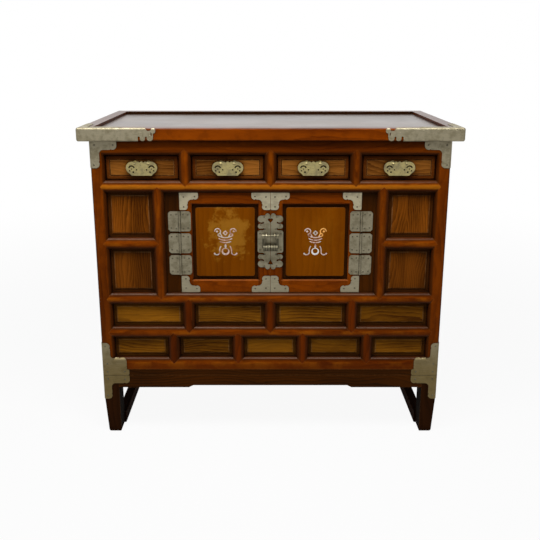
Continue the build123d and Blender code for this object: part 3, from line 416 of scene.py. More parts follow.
def wood(name, light, dark, order, grain, other=None, cut=None, cut_above=None, sharp=2.2, fibre=0.5,
         layers=(), over=(), edge=0.5, grime_and_shade=1.0, bump=0.25, gloss=0.30, specular=0.06,
         gloss_tint=WARM_GLOSS, sheen=0.0):
    """A lacquered wood, with its grain along the first axis of order.

    other is (mask maker, order) for members that run another way. cut is a grid of separate boards, and
    cut_above is (z, grid) for the boards above a height. sharp and fibre shape the grain. layers are (mask
    maker, amount, colour), laid on under the pale edges and the darkened crevices, and over is laid on last.
    The pale edges are partly rubbed wear, partly painted highlight; the darkened crevices are soiling and
    old wax, and painted shade where shade falls. edge and the crevice amount say how much of these two there
    is, and sheen how much wax. gloss is a roughness.
    """
    material, g, shader, place = new_material(name)
    run = g.reorder(place, order)
    if other is not None:
        mask, other_order = other
        run = g.mix(mask(g, place), run, g.reorder(place, other_order), "VECTOR")
    seed = board_seed(g, place, cut, cut_above)
    wild, straight, contrast = grain
    far_seed = g.math("MULTIPLY", seed, 7.0)
    found = g.group("Wood grain", Vector=run, Wild=wild, Straight=straight, Seed=far_seed, Sharp=sharp)
    depth = g.math("MULTIPLY", found["Line"], contrast)
    depth = g.math("ADD", depth, g.math("MULTIPLY", found["Tone"], 0.60))
    depth = g.math("ADD", depth, g.math("MULTIPLY", g.math("SUBTRACT", found["Fibre"], 0.5), fibre))
    depth = g.math("ADD", depth, g.math("MULTIPLY", seed, 0.18), clamp=True)
    base = lay(g, place, g.mix(depth, light, dark), layers)
    # Crevice mask: soiling and old wax in corners and gaps, and painted shade where shade falls.
    dirt_and_shade = g.group("Crevice", Vector=place, Reach=0.026, Amount=grime_and_shade)["Mask"]
    # Paler edges: partly rubbed wear, partly a painted highlight along the edges.
    worn = g.group("Rubbed edge", Vector=place, Width=0.0018)["Mask"]
    pale = tuple(0.7 * a + 0.3 * b for a, b in zip(light, BARE_WOOD))
    base = g.mix(g.math("MULTIPLY", worn, edge), base, pale)
    base = g.mix(dirt_and_shade, base, tuple(bpy.context.scene.chest_wood.grime_and_shade))
    g.feed(shader["Base Color"], lay(g, place, base, over))
    rough = g.math("ADD", g.math("MULTIPLY", found["Fibre"], 0.16), gloss - 0.08)
    g.feed(shader["Roughness"], g.math("ADD", rough, g.math("MULTIPLY", dirt_and_shade, 0.25)))
    shader["Specular IOR Level"].default_value = specular
    shader["Specular Tint"].default_value = gloss_tint
    if sheen:
        add_wax(g, shader, place, sheen)
    height = g.math("ADD", g.math("MULTIPLY", found["Line"], -0.6), g.math("MULTIPLY", found["Fibre"], 0.5))
    relief = g.add("ShaderNodeBump", {"Strength": bump, "Distance": 0.0006, "Height": height}).outputs[0]
    g.feed(shader["Normal"], relief)
    return material


# Masks. A mask maker is a function of a graph and the Object coordinates, and it gives a mask.

def top_sides(g, place):
    """Mask of the top's two end rims, up to their mitres."""
    half_width, half_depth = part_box("top_corner_plates")[1].x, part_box("top_frame")[1].y
    x, y, _ = g.parts(place)
    difference = g.math("SUBTRACT", g.math("ABSOLUTE", x), g.math("ABSOLUTE", y))
    return g.math("GREATER_THAN", difference, half_width - half_depth)


def door_stiles(g, place):
    """Mask of the doors' upright members."""
    from_middle = g.math("SUBTRACT", g.math("ABSOLUTE", g.parts(place)[X]), DOOR_MIDDLE_X)
    return g.math("GREATER_THAN", g.math("ABSOLUTE", from_middle), DOOR_STILE_X)


def inside_x(edge):
    """Mask maker: 1 nearer to the chest's middle than edge, from side to side."""
    def make(g, place):
        return g.math("LESS_THAN", g.math("ABSOLUTE", g.parts(place)[X]), edge)
    return make


def inside_y(edge, centre=CASE_MIDDLE_Y):
    """Mask maker: 1 nearer to centre than edge, from front to back."""
    def make(g, place):
        value = g.math("ABSOLUTE", g.math("SUBTRACT", g.parts(place)[Y], centre))
        return g.math("LESS_THAN", value, edge)
    return make


def deeper(axis, start, end, ragged=0.0):
    """Mask maker: rises from 0 to 1 along an axis, from start to end. ragged is how far the line wanders."""
    def make(g, place):
        value = g.parts(place)[axis]
        if ragged:
            wander = g.math("SUBTRACT", g.noise(place, 38.0, detail=3.0), 0.5)
            value = g.math("ADD", value, g.math("MULTIPLY", wander, ragged))
        return g.ramp(value, start, end)
    return make


def between(axis, low, high, fade):
    """Mask maker: 1 between two values of a coordinate, broken up along its length."""
    def make(g, place):
        value = g.parts(place)[axis]
        rise, fall = g.ramp(value, low - fade, low), g.ramp(value, high + fade, high)
        broken = g.ramp(g.noise(place, 70.0, detail=3.0), 0.36, 0.60, 0.25, 1.0)
        return g.math("MULTIPLY", g.math("MULTIPLY", rise, fall), broken)
    return make


def both(first, second):
    """Mask maker: where two masks meet."""
    def make(g, place):
        return g.math("MULTIPLY", first(g, place), second(g, place))
    return make


def blotches(scale):
    """Mask maker: soft uneven patches of old lacquer."""
    def make(g, place):
        return g.ramp(g.noise(place, scale, detail=4.0, roughness=0.6), 0.44, 0.66)
    return make


def rubbed_patch(side, amount):
    """Mask maker: a ragged patch on the face of a door's panel, round its inlay."""
    centre = middle(f"{side}_door_inlay") + Vector((10, 0, 20)) * MM
    face_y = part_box(f"{side}_door_panel")[0].y

    def make(g, place):
        away = g.stretch(g.vector_math("SUBTRACT", place, centre), (16.0, 0.0, 13.0))
        ragged = g.math("MULTIPLY", g.noise(place, 42.0, detail=4.0, roughness=0.65), 2.4)
        patch = g.ramp(g.math("ADD", g.length(away), ragged), 2.15, 1.55)
        on_face = g.math("LESS_THAN", g.parts(place)[Y], face_y + 2.0 * MM)
        return g.math("MULTIPLY", g.math("MULTIPLY", patch, amount), on_face)
    return make


# The finishes, one function for each group of members.

def uneven_tone():
    """Layer of darker patches in red lacquer."""
    return blotches(26.0), 0.45, tones("rail")[1]


def finish_lacquer():
    """Red lacquer of the rails, posts, stiles and door frames."""
    rail, stile, uneven = tones("rail"), tones("stile"), uneven_tone()
    crown_y, rail_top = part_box("front_posts")[0].y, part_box("middle_rails")[1].z
    rail_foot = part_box("bottom_rail")[0].z
    # Painted shade, with some soiling: darker where a moulding turns back from its crown, on its flanks and
    # beside it.
    hollow = (deeper(Y, crown_y + 0.3 * MM, crown_y + 3.2 * MM, 2.0 * MM), 0.80, HOLLOW_GRIME_AND_SHADE)
    # Painted highlight in mottled patches on the crowns of the mouldings, partly rubbed wear.
    crown = deeper(Y, crown_y + 1.3 * MM, crown_y + 0.2 * MM, 1.2 * MM)
    rubbed = both(crown, blotches(19.0))
    # Painted highlight: a brighter, golden crown on the highest of the middle rails.
    upper_crown_highlight = (both(crown, deeper(Z, rail_top - 40 * MM, rail_top - 34 * MM)), 0.52, GOLD_CROWN_HIGHLIGHT)
    # Painted shade: the bottom rail darkens towards its foot, on its underside.
    shaded_underside = (deeper(Z, rail_foot + 26 * MM, rail_foot + 2 * MM), 0.62, rail[1])
    rail_layers = (uneven, (rubbed, 0.36, CROWN_HIGHLIGHT), upper_crown_highlight, shaded_underside, hollow)
    assign(wood("Rail lacquer", *rail, "xyz", PLAIN, cut=cells(z=0.09, shift=(0.5, 0.5, 0.3)),
                layers=rail_layers, sheen=0.16), "middle_rails", "bottom_rail")
    assign(wood("Top rail lacquer", scaled(rail[0], 0.85), rail[1], "xyz", PLAIN, layers=(hollow,)),
           "top_rail")
    assign(wood("Wing rail lacquer", *rail, "xyz", PLAIN, layers=(uneven, (rubbed, 0.36, CROWN_HIGHLIGHT), hollow),
                sheen=0.16), "wing_rails")
    assign(wood("Post lacquer", *stile, "zyx", PLAIN, cut=cells(x=0.5, shift=(0.0, 0.5, 0.5)),
                layers=(uneven, hollow)), "front_posts", "back_posts")
    # The stiles get a fainter painted highlight on their crowns.
    assign(wood("Stile lacquer", *stile, "zyx", PLAIN, cut=cells(x=0.043),
                layers=(uneven, (rubbed, 0.20, FAINT_CROWN_HIGHLIGHT), hollow)),
           "drawer_stiles", "door_opening_stiles")
    low_stile = [tuple(a * b for a, b in zip(tone, (0.76, 0.62, 0.6))) for tone in stile]
    assign(wood("Row stile lacquer", *low_stile, "zyx", PLAIN, cut=cells(x=0.043), layers=(hollow,)),
           "row_stiles")
    assign(wood("Side lacquer", *stile, "yzx", PLAIN, cut=cells(z=0.1, shift=(0.5, 0.5, 0.0))), "side_rails")
    assign(wood("Back lacquer", *stile, "xyz", PLAIN), "back_rails")
    assign(wood("Door lacquer", *rail, "xyz", PLAIN, other=(door_stiles, "zyx"), layers=(uneven,)),
           "left_door_frame", "right_door_frame")


def finish_dark_wood():
    """Dark wood of the hinge stiles, the base and the stand."""
    dark, stand = tones("dark"), tones("stand")
    stile_top, leg_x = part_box("hinge_stiles")[1].z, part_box("stand_legs")[1].x
    half_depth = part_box("base_frame")[1].y - CASE_MIDDLE_Y
    grime_and_shade = tuple(bpy.context.scene.chest_wood.grime_and_shade)
    # Darker towards the top of the hinge stiles.
    dark_stile_top = (deeper(Z, stile_top - 71 * MM, stile_top + 9 * MM), 0.7, grime_and_shade)
    assign(wood("Dark stile", *dark, "zyx", PLAIN, layers=(dark_stile_top,)), "hinge_stiles")
    matt = {"gloss": 0.85, "specular": 0.02}
    shaded = (inside_x(leg_x - 40.6 * MM), 0.9, LEG_SHADE)
    assign(wood("Stand legs", *stand, "zyx", PLAIN, layers=(shaded,), **matt), "stand_legs")
    assign(wood("Stand runners", *stand, "yzx", PLAIN, **matt), "stand_runners")
    side_aprons, base_sides = inside_y(half_depth - 56 * MM), inside_y(half_depth - 44 * MM)
    assign(wood("Stand aprons", *dark, "xyz", COARSE, other=(side_aprons, "yzx"), gloss=0.4), "stand_aprons")
    assign(wood("Base lacquer", scaled(dark[0], 0.78), dark[1], "xyz", COARSE, other=(base_sides, "yzx")),
           "base_frame")


def finish_panels():
    """Elm of the panels and the drawers' fronts."""
    elm = tones("elm")
    wing_elm = (tuple(bpy.context.scene.chest_wood.wing_light), elm[1])
    panel_y, drawer_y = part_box("row_panels")[0].y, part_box("drawer_1_front")[0].y
    # Round each panel's raised field: a pale line on the bevel, partly rubbed wear and partly painted
    # highlight, then painted shade in the sunk border.
    border = (
        (between(Y, panel_y + 0.25 * MM, panel_y + 0.8 * MM, 0.2 * MM), 0.45, RUBBED_AND_HIGHLIGHT_LINE),
        (deeper(Y, panel_y + 0.8 * MM, panel_y + 2.0 * MM), 0.75, PANEL_BORDER_SHADE),
    )
    wing_rail_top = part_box("wing_rails")[1].z
    low_wing = (deeper(Z, wing_rail_top - 3 * MM, wing_rail_top - 13 * MM), 0.35, elm[1])
    assign(wood("Panel elm upright", *wing_elm, "zyx", CALM_ELM, sharp=1.2, fibre=0.9, grime_and_shade=0.7,
                cut=cells(x=0.5, z=0.3, shift=(0.3, 0.5, 0.2)), layers=(low_wing, *border)), "wing_panels")
    row_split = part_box("middle_rails")[0].z + 16 * MM
    low_row = deeper(Z, row_split + 2.5 * MM, row_split - 2.5 * MM)
    middle_board = (both(inside_x(80 * MM), low_row), 0.50, elm[0])
    assign(wood("Panel elm", *elm, "xyz", ELM, sharp=1.1, fibre=0.9, grime_and_shade=0.7, cut=cells(x=LOWER_PITCH),
                cut_above=(row_split, cells(x=UPPER_PITCH, shift=(0.0, 0.5, 0.5))),
                layers=(middle_board, *border)), "row_panels")
    assign(wood("Side elm", *elm, "zxy", ELM, edge=0.8), "side_panels")
    # On the drawers' fronts: a darker outer face, a pale line at the bead, partly rubbed wear and partly
    # painted highlight, and painted shade with some soiling in the groove.
    drawer_layers = (
        (deeper(Y, drawer_y + 0.25 * MM, drawer_y + 0.05 * MM), 0.75, tones("rail")[1]),
        (between(Y, drawer_y + 0.6 * MM, drawer_y + 1.1 * MM, 0.15 * MM), 0.60, RUBBED_AND_HIGHLIGHT_LINE),
        (deeper(Y, drawer_y + 1.2 * MM, drawer_y + 1.6 * MM), 0.85, HOLLOW_GRIME_AND_SHADE),
    )
    assign(wood("Drawer elm", *tones("drawer"), "xyz", ELM, sharp=1.1, fibre=0.9, edge=1.0,
                cut=cells(x=UPPER_PITCH, z=0.1, shift=(0.5, 0.5, 0.0)), layers=drawer_layers),
           *[f"drawer_{n}_front" for n in DRAWERS])


def finish_inside():
    """Bare wood of the drawers' boxes, the back and the inner boards."""
    inner = tones("inner")
    bare = {"gloss": 0.62, "edge": 0.2, "grime_and_shade": 0.6}
    assign(wood("Drawer wood", *inner, "yzx", PLAIN, **bare), *[f"drawer_{n}_box" for n in DRAWERS])
    assign(wood("Back boards", *inner, "zyx", BACK_BOARD, cut=cells(x=0.15), **bare), "back_panels")
    assign(wood("Inner boards", *inner, "xzy", PLAIN, cut=cells(y=0.13), **bare),
           "drawer_deck", "bottom_board")


def finish_top():
    """Red rims and dark boards of the top."""
    top = tones("top")
    low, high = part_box("top_frame")
    rim_width = 35.4 * MM
    # Painted shade: inside the rim's inner edge, round the sunk top, the rim is made near black.
    recess = both(inside_x(high.x - rim_width),
                  inside_y((high.y - low.y) / 2 - rim_width, (high.y + low.y) / 2))
    upper_face = (deeper(Z, high.z - 2.0 * MM, high.z - 0.5 * MM), 0.75, top[1])
    rim_layers = (uneven_tone(), upper_face, (recess, 0.9, tuple(bpy.context.scene.chest_wood.grime_and_shade)))
    assign(wood("Top rim", *tones("rail"), "xzy", TOP_RIM, other=(top_sides, "yzx"), layers=rim_layers,
                sheen=0.50), "top_frame")
    assign(wood("Top boards", *top, "xzy", TOP_BOARD, cut=cells(x=0.32), grime_and_shade=0.8, gloss=0.32, specular=0.6,
                gloss_tint=WHITE_GLOSS, sheen=0.6), "top_boards")


class CHEST_OT_wood(bpy.types.Operator):
    """Finish every wooden part but the door panels"""
    bl_idname = "chest.wood"
    bl_label = "Finish the wood"

    def execute(self, context):
        for finish in (finish_lacquer, finish_dark_wood, finish_panels, finish_inside, finish_top):
            finish()
        return {"FINISHED"}


class CHEST_OT_door_panels(bpy.types.Operator):
    """Finish the door panels, with the lacquer rubbed away round the ornament, most of all on the left"""
    bl_idname = "chest.door_panels"
    bl_label = "Finish the door panels"

    def execute(self, context):
        face_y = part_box("left_door_panel")[0].y
        # Painted shade in the sunk border round each door panel's field.
        border = (deeper(Y, face_y + 0.3 * MM, face_y + 1.6 * MM), 0.88, DOOR_PANEL_BORDER_SHADE)
        worn = tuple(context.scene.chest_wood.worn)
        for side, amount in (("left", 1.0), ("right", 0.10)):
            patch = (rubbed_patch(side, amount), 0.42, worn)
            material = wood(f"Door panel {side}", *tones("door"), "zyx", DOOR_PANEL, layers=(border,),
                            over=(patch,), edge=0.35, grime_and_shade=0.9, bump=0.12)
            assign(material, f"{side}_door_panel")
        return {"FINISHED"}


# ---- metal and inlay ----------------------------------------------------------------------------

# Dark colour in the metal's corners and gaps: soiling, and painted shade where shade falls.
METAL_GRIME_AND_SHADE = (0.035, 0.030, 0.020)


def metal(name, bright, dull, rough=0.40, reach=0.004, low=None):
    """Old sheet metal.

    rough is its roughness, reach how far the crevice darkening spreads from a corner, where it stands for
    soiling and for painted shade, and low (from z, to z, colour) for the part that lies low.
    """
    material, g, shader, place = new_material(name)
    found = g.group("Patina", Vector=place)
    base = g.mix(g.math("MULTIPLY", found["Dull"], 0.75), bright, dull)
    if low is not None:
        start, end, tint = low
        base = g.mix(g.ramp(g.parts(place)[Z], start, end), base, tint)
    base = g.mix(g.math("MULTIPLY", found["Speck"], 0.55), base, scaled(dull, 0.35))
    base = g.mix(g.math("MULTIPLY", found["Scratch"], 0.25), base, scaled(bright, 1.3))
    # Crevice mask: soiling, and painted shade where shade falls.
    grime_and_shade = g.group("Crevice", Vector=place, Reach=reach, Amount=0.8)["Mask"]
    base = g.mix(grime_and_shade, base, METAL_GRIME_AND_SHADE)
    worn = g.group("Rubbed edge", Vector=place, Width=0.0006)["Mask"]
    base = g.mix(g.math("MULTIPLY", worn, 0.15), base, scaled(bright, 1.4))
    g.feed(shader["Base Color"], base)
    shader["Metallic"].default_value = 0.85
    level = g.math("ADD", g.math("MULTIPLY", found["Dull"], 0.18), rough)
    g.feed(shader["Roughness"], g.math("SUBTRACT", level, g.math("MULTIPLY", found["Scratch"], 0.12)))
    scratched = g.math("MULTIPLY", found["Scratch"], -0.5)
    height = g.math("ADD", scratched, g.math("MULTIPLY", found["Dull"], 0.4))
    relief = g.add("ShaderNodeBump", {"Strength": 0.18, "Distance": 0.0004, "Height": height}).outputs[0]
    g.feed(shader["Normal"], relief)
    return material


class CHEST_OT_metal(bpy.types.Operator):
    """Finish plates, hinges, pulls and the padlock"""
    bl_idname = "chest.metal"
    bl_label = "Finish the metal"

    def execute(self, context):
        m = context.scene.chest_metal
        plate, dull, lock = tuple(m.plate), tuple(m.tarnish), tuple(m.lock)
        # Near the floor the plates turn yellower and darker: the darkening is painted shade.
        assign(metal("Nickel brass", plate, dull, rough=0.48, low=(0.34, 0.16, tuple(m.low_plate))),
               "top_corner_plates", "body_corner_plates", "stand_corner_plates")
        assign(metal("Hinge brass", scaled(plate, 0.82), scaled(dull, 0.82)),
               "fixed_hinge_leaves", "hinge_pins", "left_hinge_leaves", "right_hinge_leaves",
               "left_lock_plate", "right_lock_plate")
        # Painted highlight: the doors' upper corner plates are much lighter than the lower ones.
        assign(metal("Door brass", scaled(plate, 1.45), plate, low=(0.62, 0.50, scaled(plate, 0.9))),
               "left_door_corner_plates", "right_door_corner_plates")
        assign(metal("Pull brass", tuple(m.pull), dull, rough=0.34),
               *[f"drawer_{n}_{part}" for n in DRAWERS for part in ("pull", "pull_posts")])
        rod_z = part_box("padlock_bolt_half")[1].z
        # Painted shade: the padlock is much darker below its rod, which keeps the lighter colour.
        shade_below_rod = (rod_z - 8.0 * MM, rod_z - 11.0 * MM, scaled(lock, 0.4))
        assign(metal("Padlock brass", scaled(lock, 1.2), scaled(lock, 0.7), rough=0.50, low=shade_below_rod),
               "padlock_bolt_half", "padlock_case_half")
        return {"FINISHED"}


# The pearl's tints, each with its place on the ramp from 0 to 1.
PEARL = ((0.30, (0.20, 0.10, 0.08)), (0.42, (0.36, 0.22, 0.18)), (0.52, (0.56, 0.42, 0.34)),
         (0.61, (0.31, 0.32, 0.29)), (0.72, (0.50, 0.43, 0.36)))
# The amber and cool tints are painted highlights in the pearl; the third is the colour of its cracks.
AMBER_HIGHLIGHT, COOL_PEARL_HIGHLIGHT, CRACK = (0.70, 0.33, 0.06), (0.62, 0.70, 0.68), (0.20, 0.09, 0.04)


def pearl_play(g, drift):
    """The play of colours that a noise picks from the pearl's tints."""
    node = g.add("ShaderNodeValToRGB", {0: drift})
    stops = node.color_ramp.elements
    for stop, (position, tint) in zip(stops, (PEARL[0], PEARL[-1])):
        stop.position, stop.color = position, (*tint, 1.0)
    for position, tint in PEARL[1:-1]:
        stops.new(position).color = (*tint, 1.0)
    return node.outputs[0]


class CHEST_OT_inlay(bpy.types.Operator):
    """Finish the mother-of-pearl inlays"""
    bl_idname = "chest.inlay"
    bl_label = "Finish the inlays"

    def execute(self, context):
        material, g, shader, place = new_material("Pearl inlay")
        drift = g.noise(place, 70.0, detail=3.0, distortion=0.8)
        low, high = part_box("right_door_inlay")
        # Painted highlights on the right inlay: an amber glint by its upper corner and a cool one by its
        # foot.
        corner = (high.x - 12 * MM, low.y, high.z - 10 * MM)
        foot = (middle("right_door_inlay").x, low.y, low.z + 12 * MM)
        to_corner, to_foot = (g.length(g.vector_math("SUBTRACT", place, point)) for point in (corner, foot))
        base = g.mix(g.ramp(to_corner, 0.016, 0.011), pearl_play(g, drift), AMBER_HIGHLIGHT)
        base = g.mix(g.ramp(to_foot, 0.014, 0.007, 0.0, 0.7), base, COOL_PEARL_HIGHLIGHT)
        cracks = g.ramp(g.noise(g.stretch(place, (260.0, 260.0, 60.0)), detail=2.0), 0.60, 0.66)
        base = g.mix(g.math("MULTIPLY", cracks, 0.45), base, CRACK)
        g.feed(shader["Base Color"], base)
        g.feed(shader["Roughness"], g.ramp(drift, 0.3, 0.7, 0.16, 0.34))
        shader["Specular IOR Level"].default_value = 0.5
        relief = g.add("ShaderNodeBump", {"Strength": 0.2, "Distance": 0.0003, "Height": cracks}).outputs[0]
        g.feed(shader["Normal"], relief)
        assign(material, "left_door_inlay", "right_door_inlay")
        return {"FINISHED"}


# ---- small fittings -----------------------------------------------------------------------------

def deselect_all():
    """Leave nothing selected, in object mode."""
    if bpy.context.object and bpy.context.object.mode != "OBJECT":
        bpy.ops.object.mode_set(mode="OBJECT")
    bpy.ops.object.select_all(action="DESELECT")


def to_origin(piece):
    """Put a piece's place into its mesh."""
    deselect_all()
    piece.select_set(True)
    bpy.context.view_layer.objects.active = piece
    bpy.ops.object.transform_apply(location=True, rotation=True, scale=True)


def joined(pieces, name):
    """Several pieces made one."""
    deselect_all()
    for piece in pieces:
        piece.select_set(True)
    bpy.context.view_layer.objects.active = pieces[0]
    bpy.ops.object.join()
    result = bpy.context.object
    result.name = result.data.name = name
    to_origin(result)
    return result


def copied(piece, matrix):
    """A copy of a piece with its own mesh, placed by a matrix."""
    twin = piece.copy()
    twin.data = piece.data.copy()
    bpy.context.scene.collection.objects.link(twin)
    twin.matrix_world = matrix
    return twin


def nail_head(radius, rise):
    """One domed nail head that faces along +z, with its rim on z = 0."""
    deselect_all()
    bpy.ops.mesh.primitive_uv_sphere_add(segments=12, ring_count=8, radius=radius)
    bpy.ops.object.mode_set(mode="EDIT")
    bpy.ops.mesh.select_all(action="SELECT")
    bpy.ops.mesh.bisect(plane_co=(0, 0, 0), plane_no=(0, 0, 1), clear_inner=True, use_fill=True)
    bpy.ops.mesh.select_all(action="SELECT")
    bpy.ops.transform.resize(value=(1, 1, rise / radius), center_override=(0, 0, 0))
    bpy.ops.object.mode_set(mode="OBJECT")
    bpy.ops.object.shade_smooth_by_angle(angle=math.radians(50))
    return bpy.context.object


def facing(point, direction):
    """Matrix that puts a piece at a point with its z along a direction."""
    turn = Vector((0, 0, 1)).rotation_difference(direction).to_matrix().to_4x4()
    return Matrix.Translation(Vector(point)) @ turn


FRONT, LEFT = Vector((0, -1, 0)), Vector((-1, 0, 0))

# Nails of a door's corner plate: how far in and how far up or down from the door's corner, in millimetres.
CORNER_NAILS = ((11, 11), (39, 10), (11, 37))
# Nails of half the lock plate: from the doors' seam and from the plate's middle, in millimetres.
LOCK_NAILS = ((16, 66), (25, 45), (27, 22), (14, 34))
# Bands on half the padlock's tube: place from the doors' seam, width and rise, in millimetres.
BANDS = ((3.6, 2.6, 0.7), (10.0, 1.8, 0.5), (16.6, 2.6, 0.7))


def leaf_nails(node, edge_x, inward, far):
    """Nails of a node's three hinge leaves. inward is the way in from the leaves' edge at edge_x, and far is
    how far in the second nail of each pair is."""
    nails = []
    for step in (-1, 0, 1):
        leaf_z = middle(node).z + step * HINGE_STEP
        for up in (-1, 1):
            for along, rise in ((7.5 * MM, 17.5 * MM), (far, 19.0 * MM)):
                nails.append(((edge_x + inward * along, LEAF_FACE_Y, leaf_z + up * rise), FRONT))
    return nails


def plate_nails():
    """Nails of the fixed plates and hinge leaves: (point, direction) for the left side, mirrored later."""
    low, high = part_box("body_corner_plates")
    stand_low, stand_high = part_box("stand_corner_plates")
    case_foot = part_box("front_posts")[0].z
    # How far each nail is from the corner, in millimetres, and how high, in metres.
    places = (
        (14, high.z - 11 * MM), (60, high.z - 11 * MM), (11, high.z - 61 * MM),
        (14, low.z + 10 * MM), (60, low.z + 10 * MM), (14, case_foot + 16 * MM), (11, case_foot + 67 * MM),
        (14, stand_high.z - 10 * MM), (60, stand_high.z - 11 * MM), (11, stand_low.z + 10 * MM),
    )
    nails = []
    for along, z in places:
        nails.append(((low.x + along * MM, low.y, z), FRONT))
        nails.append(((low.x, low.y + along * MM, z), LEFT))
    return nails + leaf_nails("fixed_hinge_leaves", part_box("fixed_hinge_leaves")[0].x, 1, 20.5 * MM)


def door_nails():
    """Nails of the left door's plates, hinge leaves and lock plate."""
    low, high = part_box("left_door_corner_plates")
    nails = []
    for x, inward in ((low.x, 1), (high.x, -1)):
        for z, up in ((low.z, 1), (high.z, -1)):
            for along, rise in CORNER_NAILS:
                nails.append(((x + inward * along * MM, low.y, z + up * rise * MM), FRONT))
    nails += leaf_nails("left_hinge_leaves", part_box("left_hinge_leaves")[1].x, -1, 19.5 * MM)
    lock_z = middle("left_lock_plate").z
    for x, rise in LOCK_NAILS:
        for up in (-1, 1):
            nails.append(((-x * MM, LEAF_FACE_Y, lock_z + up * rise * MM), FRONT))
    return nails


def mirrored_nails(nails):
    """The same nails on the right."""
    return [((-x, y, z), Vector((-d.x, d.y, d.z))) for (x, y, z), d in nails]


class CHEST_OT_nails(bpy.types.Operator):
    """Drive the domed nails of plates and hinges"""
    bl_idname = "chest.nails"
    bl_label = "Add the nails"

    def execute(self, context):
        m = context.scene.chest_metal
        # The nail heads are darker than the plates: partly their own duller metal, partly painted shade for
        # the shadow round each head.
        bright, dull = scaled(m.plate, 0.40), scaled(m.tarnish, 0.5)
        material = metal("Nail brass", bright, dull, rough=0.34, reach=0.003)
        head = nail_head(m.nail_radius, m.nail_rise)
        fixed, left = plate_nails(), door_nails()
        sets = (
            ("root", "case_nails", fixed + mirrored_nails(fixed)),
            ("left_door", "left_door_nails", left),
            ("right_door", "right_door_nails", mirrored_nails(left)),
        )
        for body, name, nails in sets:
            piece = joined([copied(head, facing(point, direction)) for point, direction in nails], name)
            piece.data.materials.clear()
            piece.data.materials.append(material)
            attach(piece, body)
        bpy.data.objects.remove(head)
        return {"FINISHED"}


def turned_band(place, tube_r, width, rise):
    """A ring with rounded edges on a tube that runs along x."""
    deselect_all()
    bpy.ops.mesh.primitive_cylinder_add(
        vertices=40, radius=tube_r + 0.05 * MM, depth=width, location=place, rotation=(0, math.pi / 2, 0),
    )
    ring = bpy.context.object
    bpy.ops.object.mode_set(mode="EDIT")
    bpy.ops.mesh.select_all(action="SELECT")
    bpy.ops.mesh.bevel(offset=0.35 * MM, segments=2, affect="EDGES")
    bpy.ops.object.mode_set(mode="OBJECT")
    ring.scale = (1 + rise / tube_r, 1 + rise / tube_r, 1)
    return ring


class CHEST_OT_padlock_bands(bpy.types.Operator):
    """Add the turned bands of the padlock's tube"""
    bl_idname = "chest.padlock_bands"
    bl_label = "Add the padlock's bands"

    def execute(self, context):
        m = context.scene.chest_metal
        material = metal("Band brass", scaled(m.lock, 0.9), scaled(m.lock, 0.6), rough=0.5, reach=0.003)
        low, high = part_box("padlock_bolt_half")
        tube_r = (high.y - low.y) / 2
        for body, side in (("padlock_bolt", -1), ("padlock_case", 1)):
            rings = []
            for x, width, rise in BANDS:
                place = (side * x * MM, low.y + tube_r, low.z + tube_r)
                rings.append(turned_band(place, tube_r, width * MM, rise * MM))
            piece = joined(rings, f"{body}_bands")
            bpy.ops.object.shade_smooth_by_angle(angle=math.radians(35))
            piece.data.materials.clear()
            piece.data.materials.append(material)
            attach(piece, body)
        return {"FINISHED"}


# ---- camera and stage ---------------------------------------------------------------------------

class CHEST_OT_camera(bpy.types.Operator):
    """Set up the camera in front of the chest, a little above its top"""
    bl_idname = "chest.camera"
    bl_label = "Place the camera"

    def execute(self, context):
        data = bpy.data.cameras.new("Front view")
        data.lens, data.sensor_width = 43.67, 36.0
        data.shift_x, data.shift_y = 0.00735, -0.1216
        data.clip_end = 60.0
        camera = bpy.data.objects.new("Front view", data)
        look_down = 13.30
        camera.location = (-0.0113, -1.8359, 1.0238)
        camera.rotation_euler = (math.radians(90.0 - look_down), 0.0, 0.0)
        context.scene.collection.objects.link(camera)
        context.scene.camera = camera
        return {"FINISHED"}


def background_rays(g):
    """1 for rays that see the background itself: from the camera, mirrored, or through glass."""
    rays = g.add("ShaderNodeLightPath").outputs
    seen = g.math("MAXIMUM", rays["Is Camera Ray"], rays["Is Glossy Ray"])
    return g.math("MAXIMUM", seen, rays["Is Transmission Ray"])


def softbox(name, location, target, size, power):
    """A rectangular lamp aimed at a point."""
    data = bpy.data.lights.new(name, "AREA")
    data.shape = "RECTANGLE"
    data.size, data.size_y = size
    data.energy = power
    lamp = bpy.data.objects.new(name, data)
    lamp.location = location
    lamp.rotation_euler = (Vector(target) - Vector(location)).to_track_quat("-Z", "Y").to_euler()
    bpy.context.scene.collection.objects.link(lamp)


def lay_floor(s):
    """The pale floor, with a share of plain white that grows away from the chest."""
    deselect_all()
    bpy.ops.mesh.primitive_plane_add(size=40.0)
    floor = bpy.context.object
    floor.name = floor.data.name = "floor"
    material = bpy.data.materials.new("Pale floor")
    material.use_nodes = True
    material.node_tree.nodes.clear()
    g = Graph(material.node_tree)
    matt = g.add("ShaderNodeBsdfDiffuse", {"Color": tuple(s.floor)})
    white = g.add("ShaderNodeEmission", {"Color": (1, 1, 1), "Strength": 1.0})
    away = g.length(g.add("ShaderNodeNewGeometry").outputs["Position"])
    share = g.math("MULTIPLY", background_rays(g), g.ramp(away, 0.8, 3.0, s.floor_glow, 1.0))
    mixed = g.add("ShaderNodeMixShader", {0: share, 1: matt.outputs[0], 2: white.outputs[0]})
    g.feed(g.add("ShaderNodeOutputMaterial").inputs["Surface"], mixed.outputs[0])
    floor.data.materials.append(material)


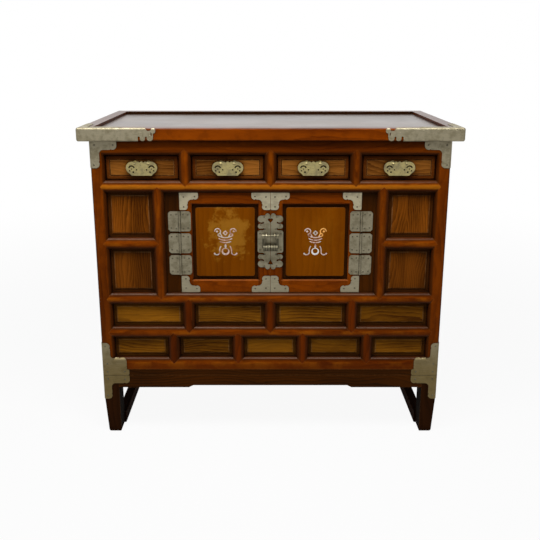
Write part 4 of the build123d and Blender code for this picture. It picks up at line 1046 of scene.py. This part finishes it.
def set_sky(s):
    """Soft light all round. It shows white where it is seen, and mirrored only from behind the chest."""
    world = bpy.data.worlds.new("Soft studio")
    bpy.context.scene.world = world
    world.use_nodes = True
    world.node_tree.nodes.clear()
    g = Graph(world.node_tree)
    rays = g.add("ShaderNodeLightPath").outputs
    behind = g.ramp(g.parts(g.add("ShaderNodeTexCoord").outputs["Generated"])[Y], -0.35, 0.15)
    mirrored = g.math("MULTIPLY", rays["Is Glossy Ray"], behind)
    seen = g.math("MAXIMUM", rays["Is Camera Ray"], rays["Is Transmission Ray"])
    level = g.ramp(g.math("MAXIMUM", seen, mirrored), 0.0, 1.0, s.sky, 1.0, smooth=False)
    sky = g.add("ShaderNodeBackground", {"Color": (1, 1, 1), "Strength": level})
    g.feed(g.add("ShaderNodeOutputWorld").inputs["Surface"], sky.outputs[0])


class CHEST_OT_stage(bpy.types.Operator):
    """Lay the pale floor and set the soft light"""
    bl_idname = "chest.stage"
    bl_label = "Set the stage"

    def execute(self, context):
        s = context.scene.chest_stage
        lay_floor(s)
        set_sky(s)
        softbox("Overhead", location=(-0.1, -0.80, 1.95), target=(0.0, -0.15, 0.5), size=(1.7, 0.6),
                power=s.overhead)
        softbox("Key", location=(-0.9, -2.3, 1.9), target=(0.0, 0.0, 0.5), size=(1.0, 0.8), power=s.key)
        context.scene.view_settings.view_transform = "Standard"
        return {"FINISHED"}


class CHEST_PT_panel(bpy.types.Panel):
    """Sidebar panel with the chest's steps and settings"""
    bl_idname = "CHEST_PT_panel"
    bl_label = "Korean chest"
    bl_space_type = "VIEW_3D"
    bl_region_type = "UI"
    bl_category = "Chest"

    def draw(self, context):
        for step in STEPS:
            self.layout.operator(step.bl_idname)
        for settings in (context.scene.chest_wood, context.scene.chest_metal, context.scene.chest_stage):
            box = self.layout.box()
            for key in settings.bl_rna.properties.keys():
                if key not in ("rna_type", "name"):
                    box.prop(settings, key)


STEPS = (
    CHEST_OT_camera, CHEST_OT_stage, CHEST_OT_wood, CHEST_OT_door_panels, CHEST_OT_metal, CHEST_OT_inlay,
    CHEST_OT_nails, CHEST_OT_padlock_bands,
)
GROUPS = (build_grain_group, build_seed_group, build_edge_group, build_crevice_group, build_patina_group)
SETTINGS = {"chest_wood": WoodSettings, "chest_metal": MetalSettings, "chest_stage": StageSettings}
CLASSES = (*SETTINGS.values(), *STEPS, CHEST_PT_panel)


def register():
    """Register the classes and hang the settings on the scene."""
    for item in CLASSES:
        bpy.utils.register_class(item)
    for key, settings in SETTINGS.items():
        setattr(bpy.types.Scene, key, PointerProperty(type=settings))


def unregister():
    """Take the settings and classes away again."""
    for key in SETTINGS:
        delattr(bpy.types.Scene, key)
    for item in reversed(CLASSES):
        bpy.utils.unregister_class(item)


def main():
    """Build the shared node groups and run every step in order."""
    register()
    for build in GROUPS:
        build()
    for step in STEPS:
        section, name = step.bl_idname.split(".")
        getattr(getattr(bpy.ops, section), name)()


if __name__ == "__main__":
    main()
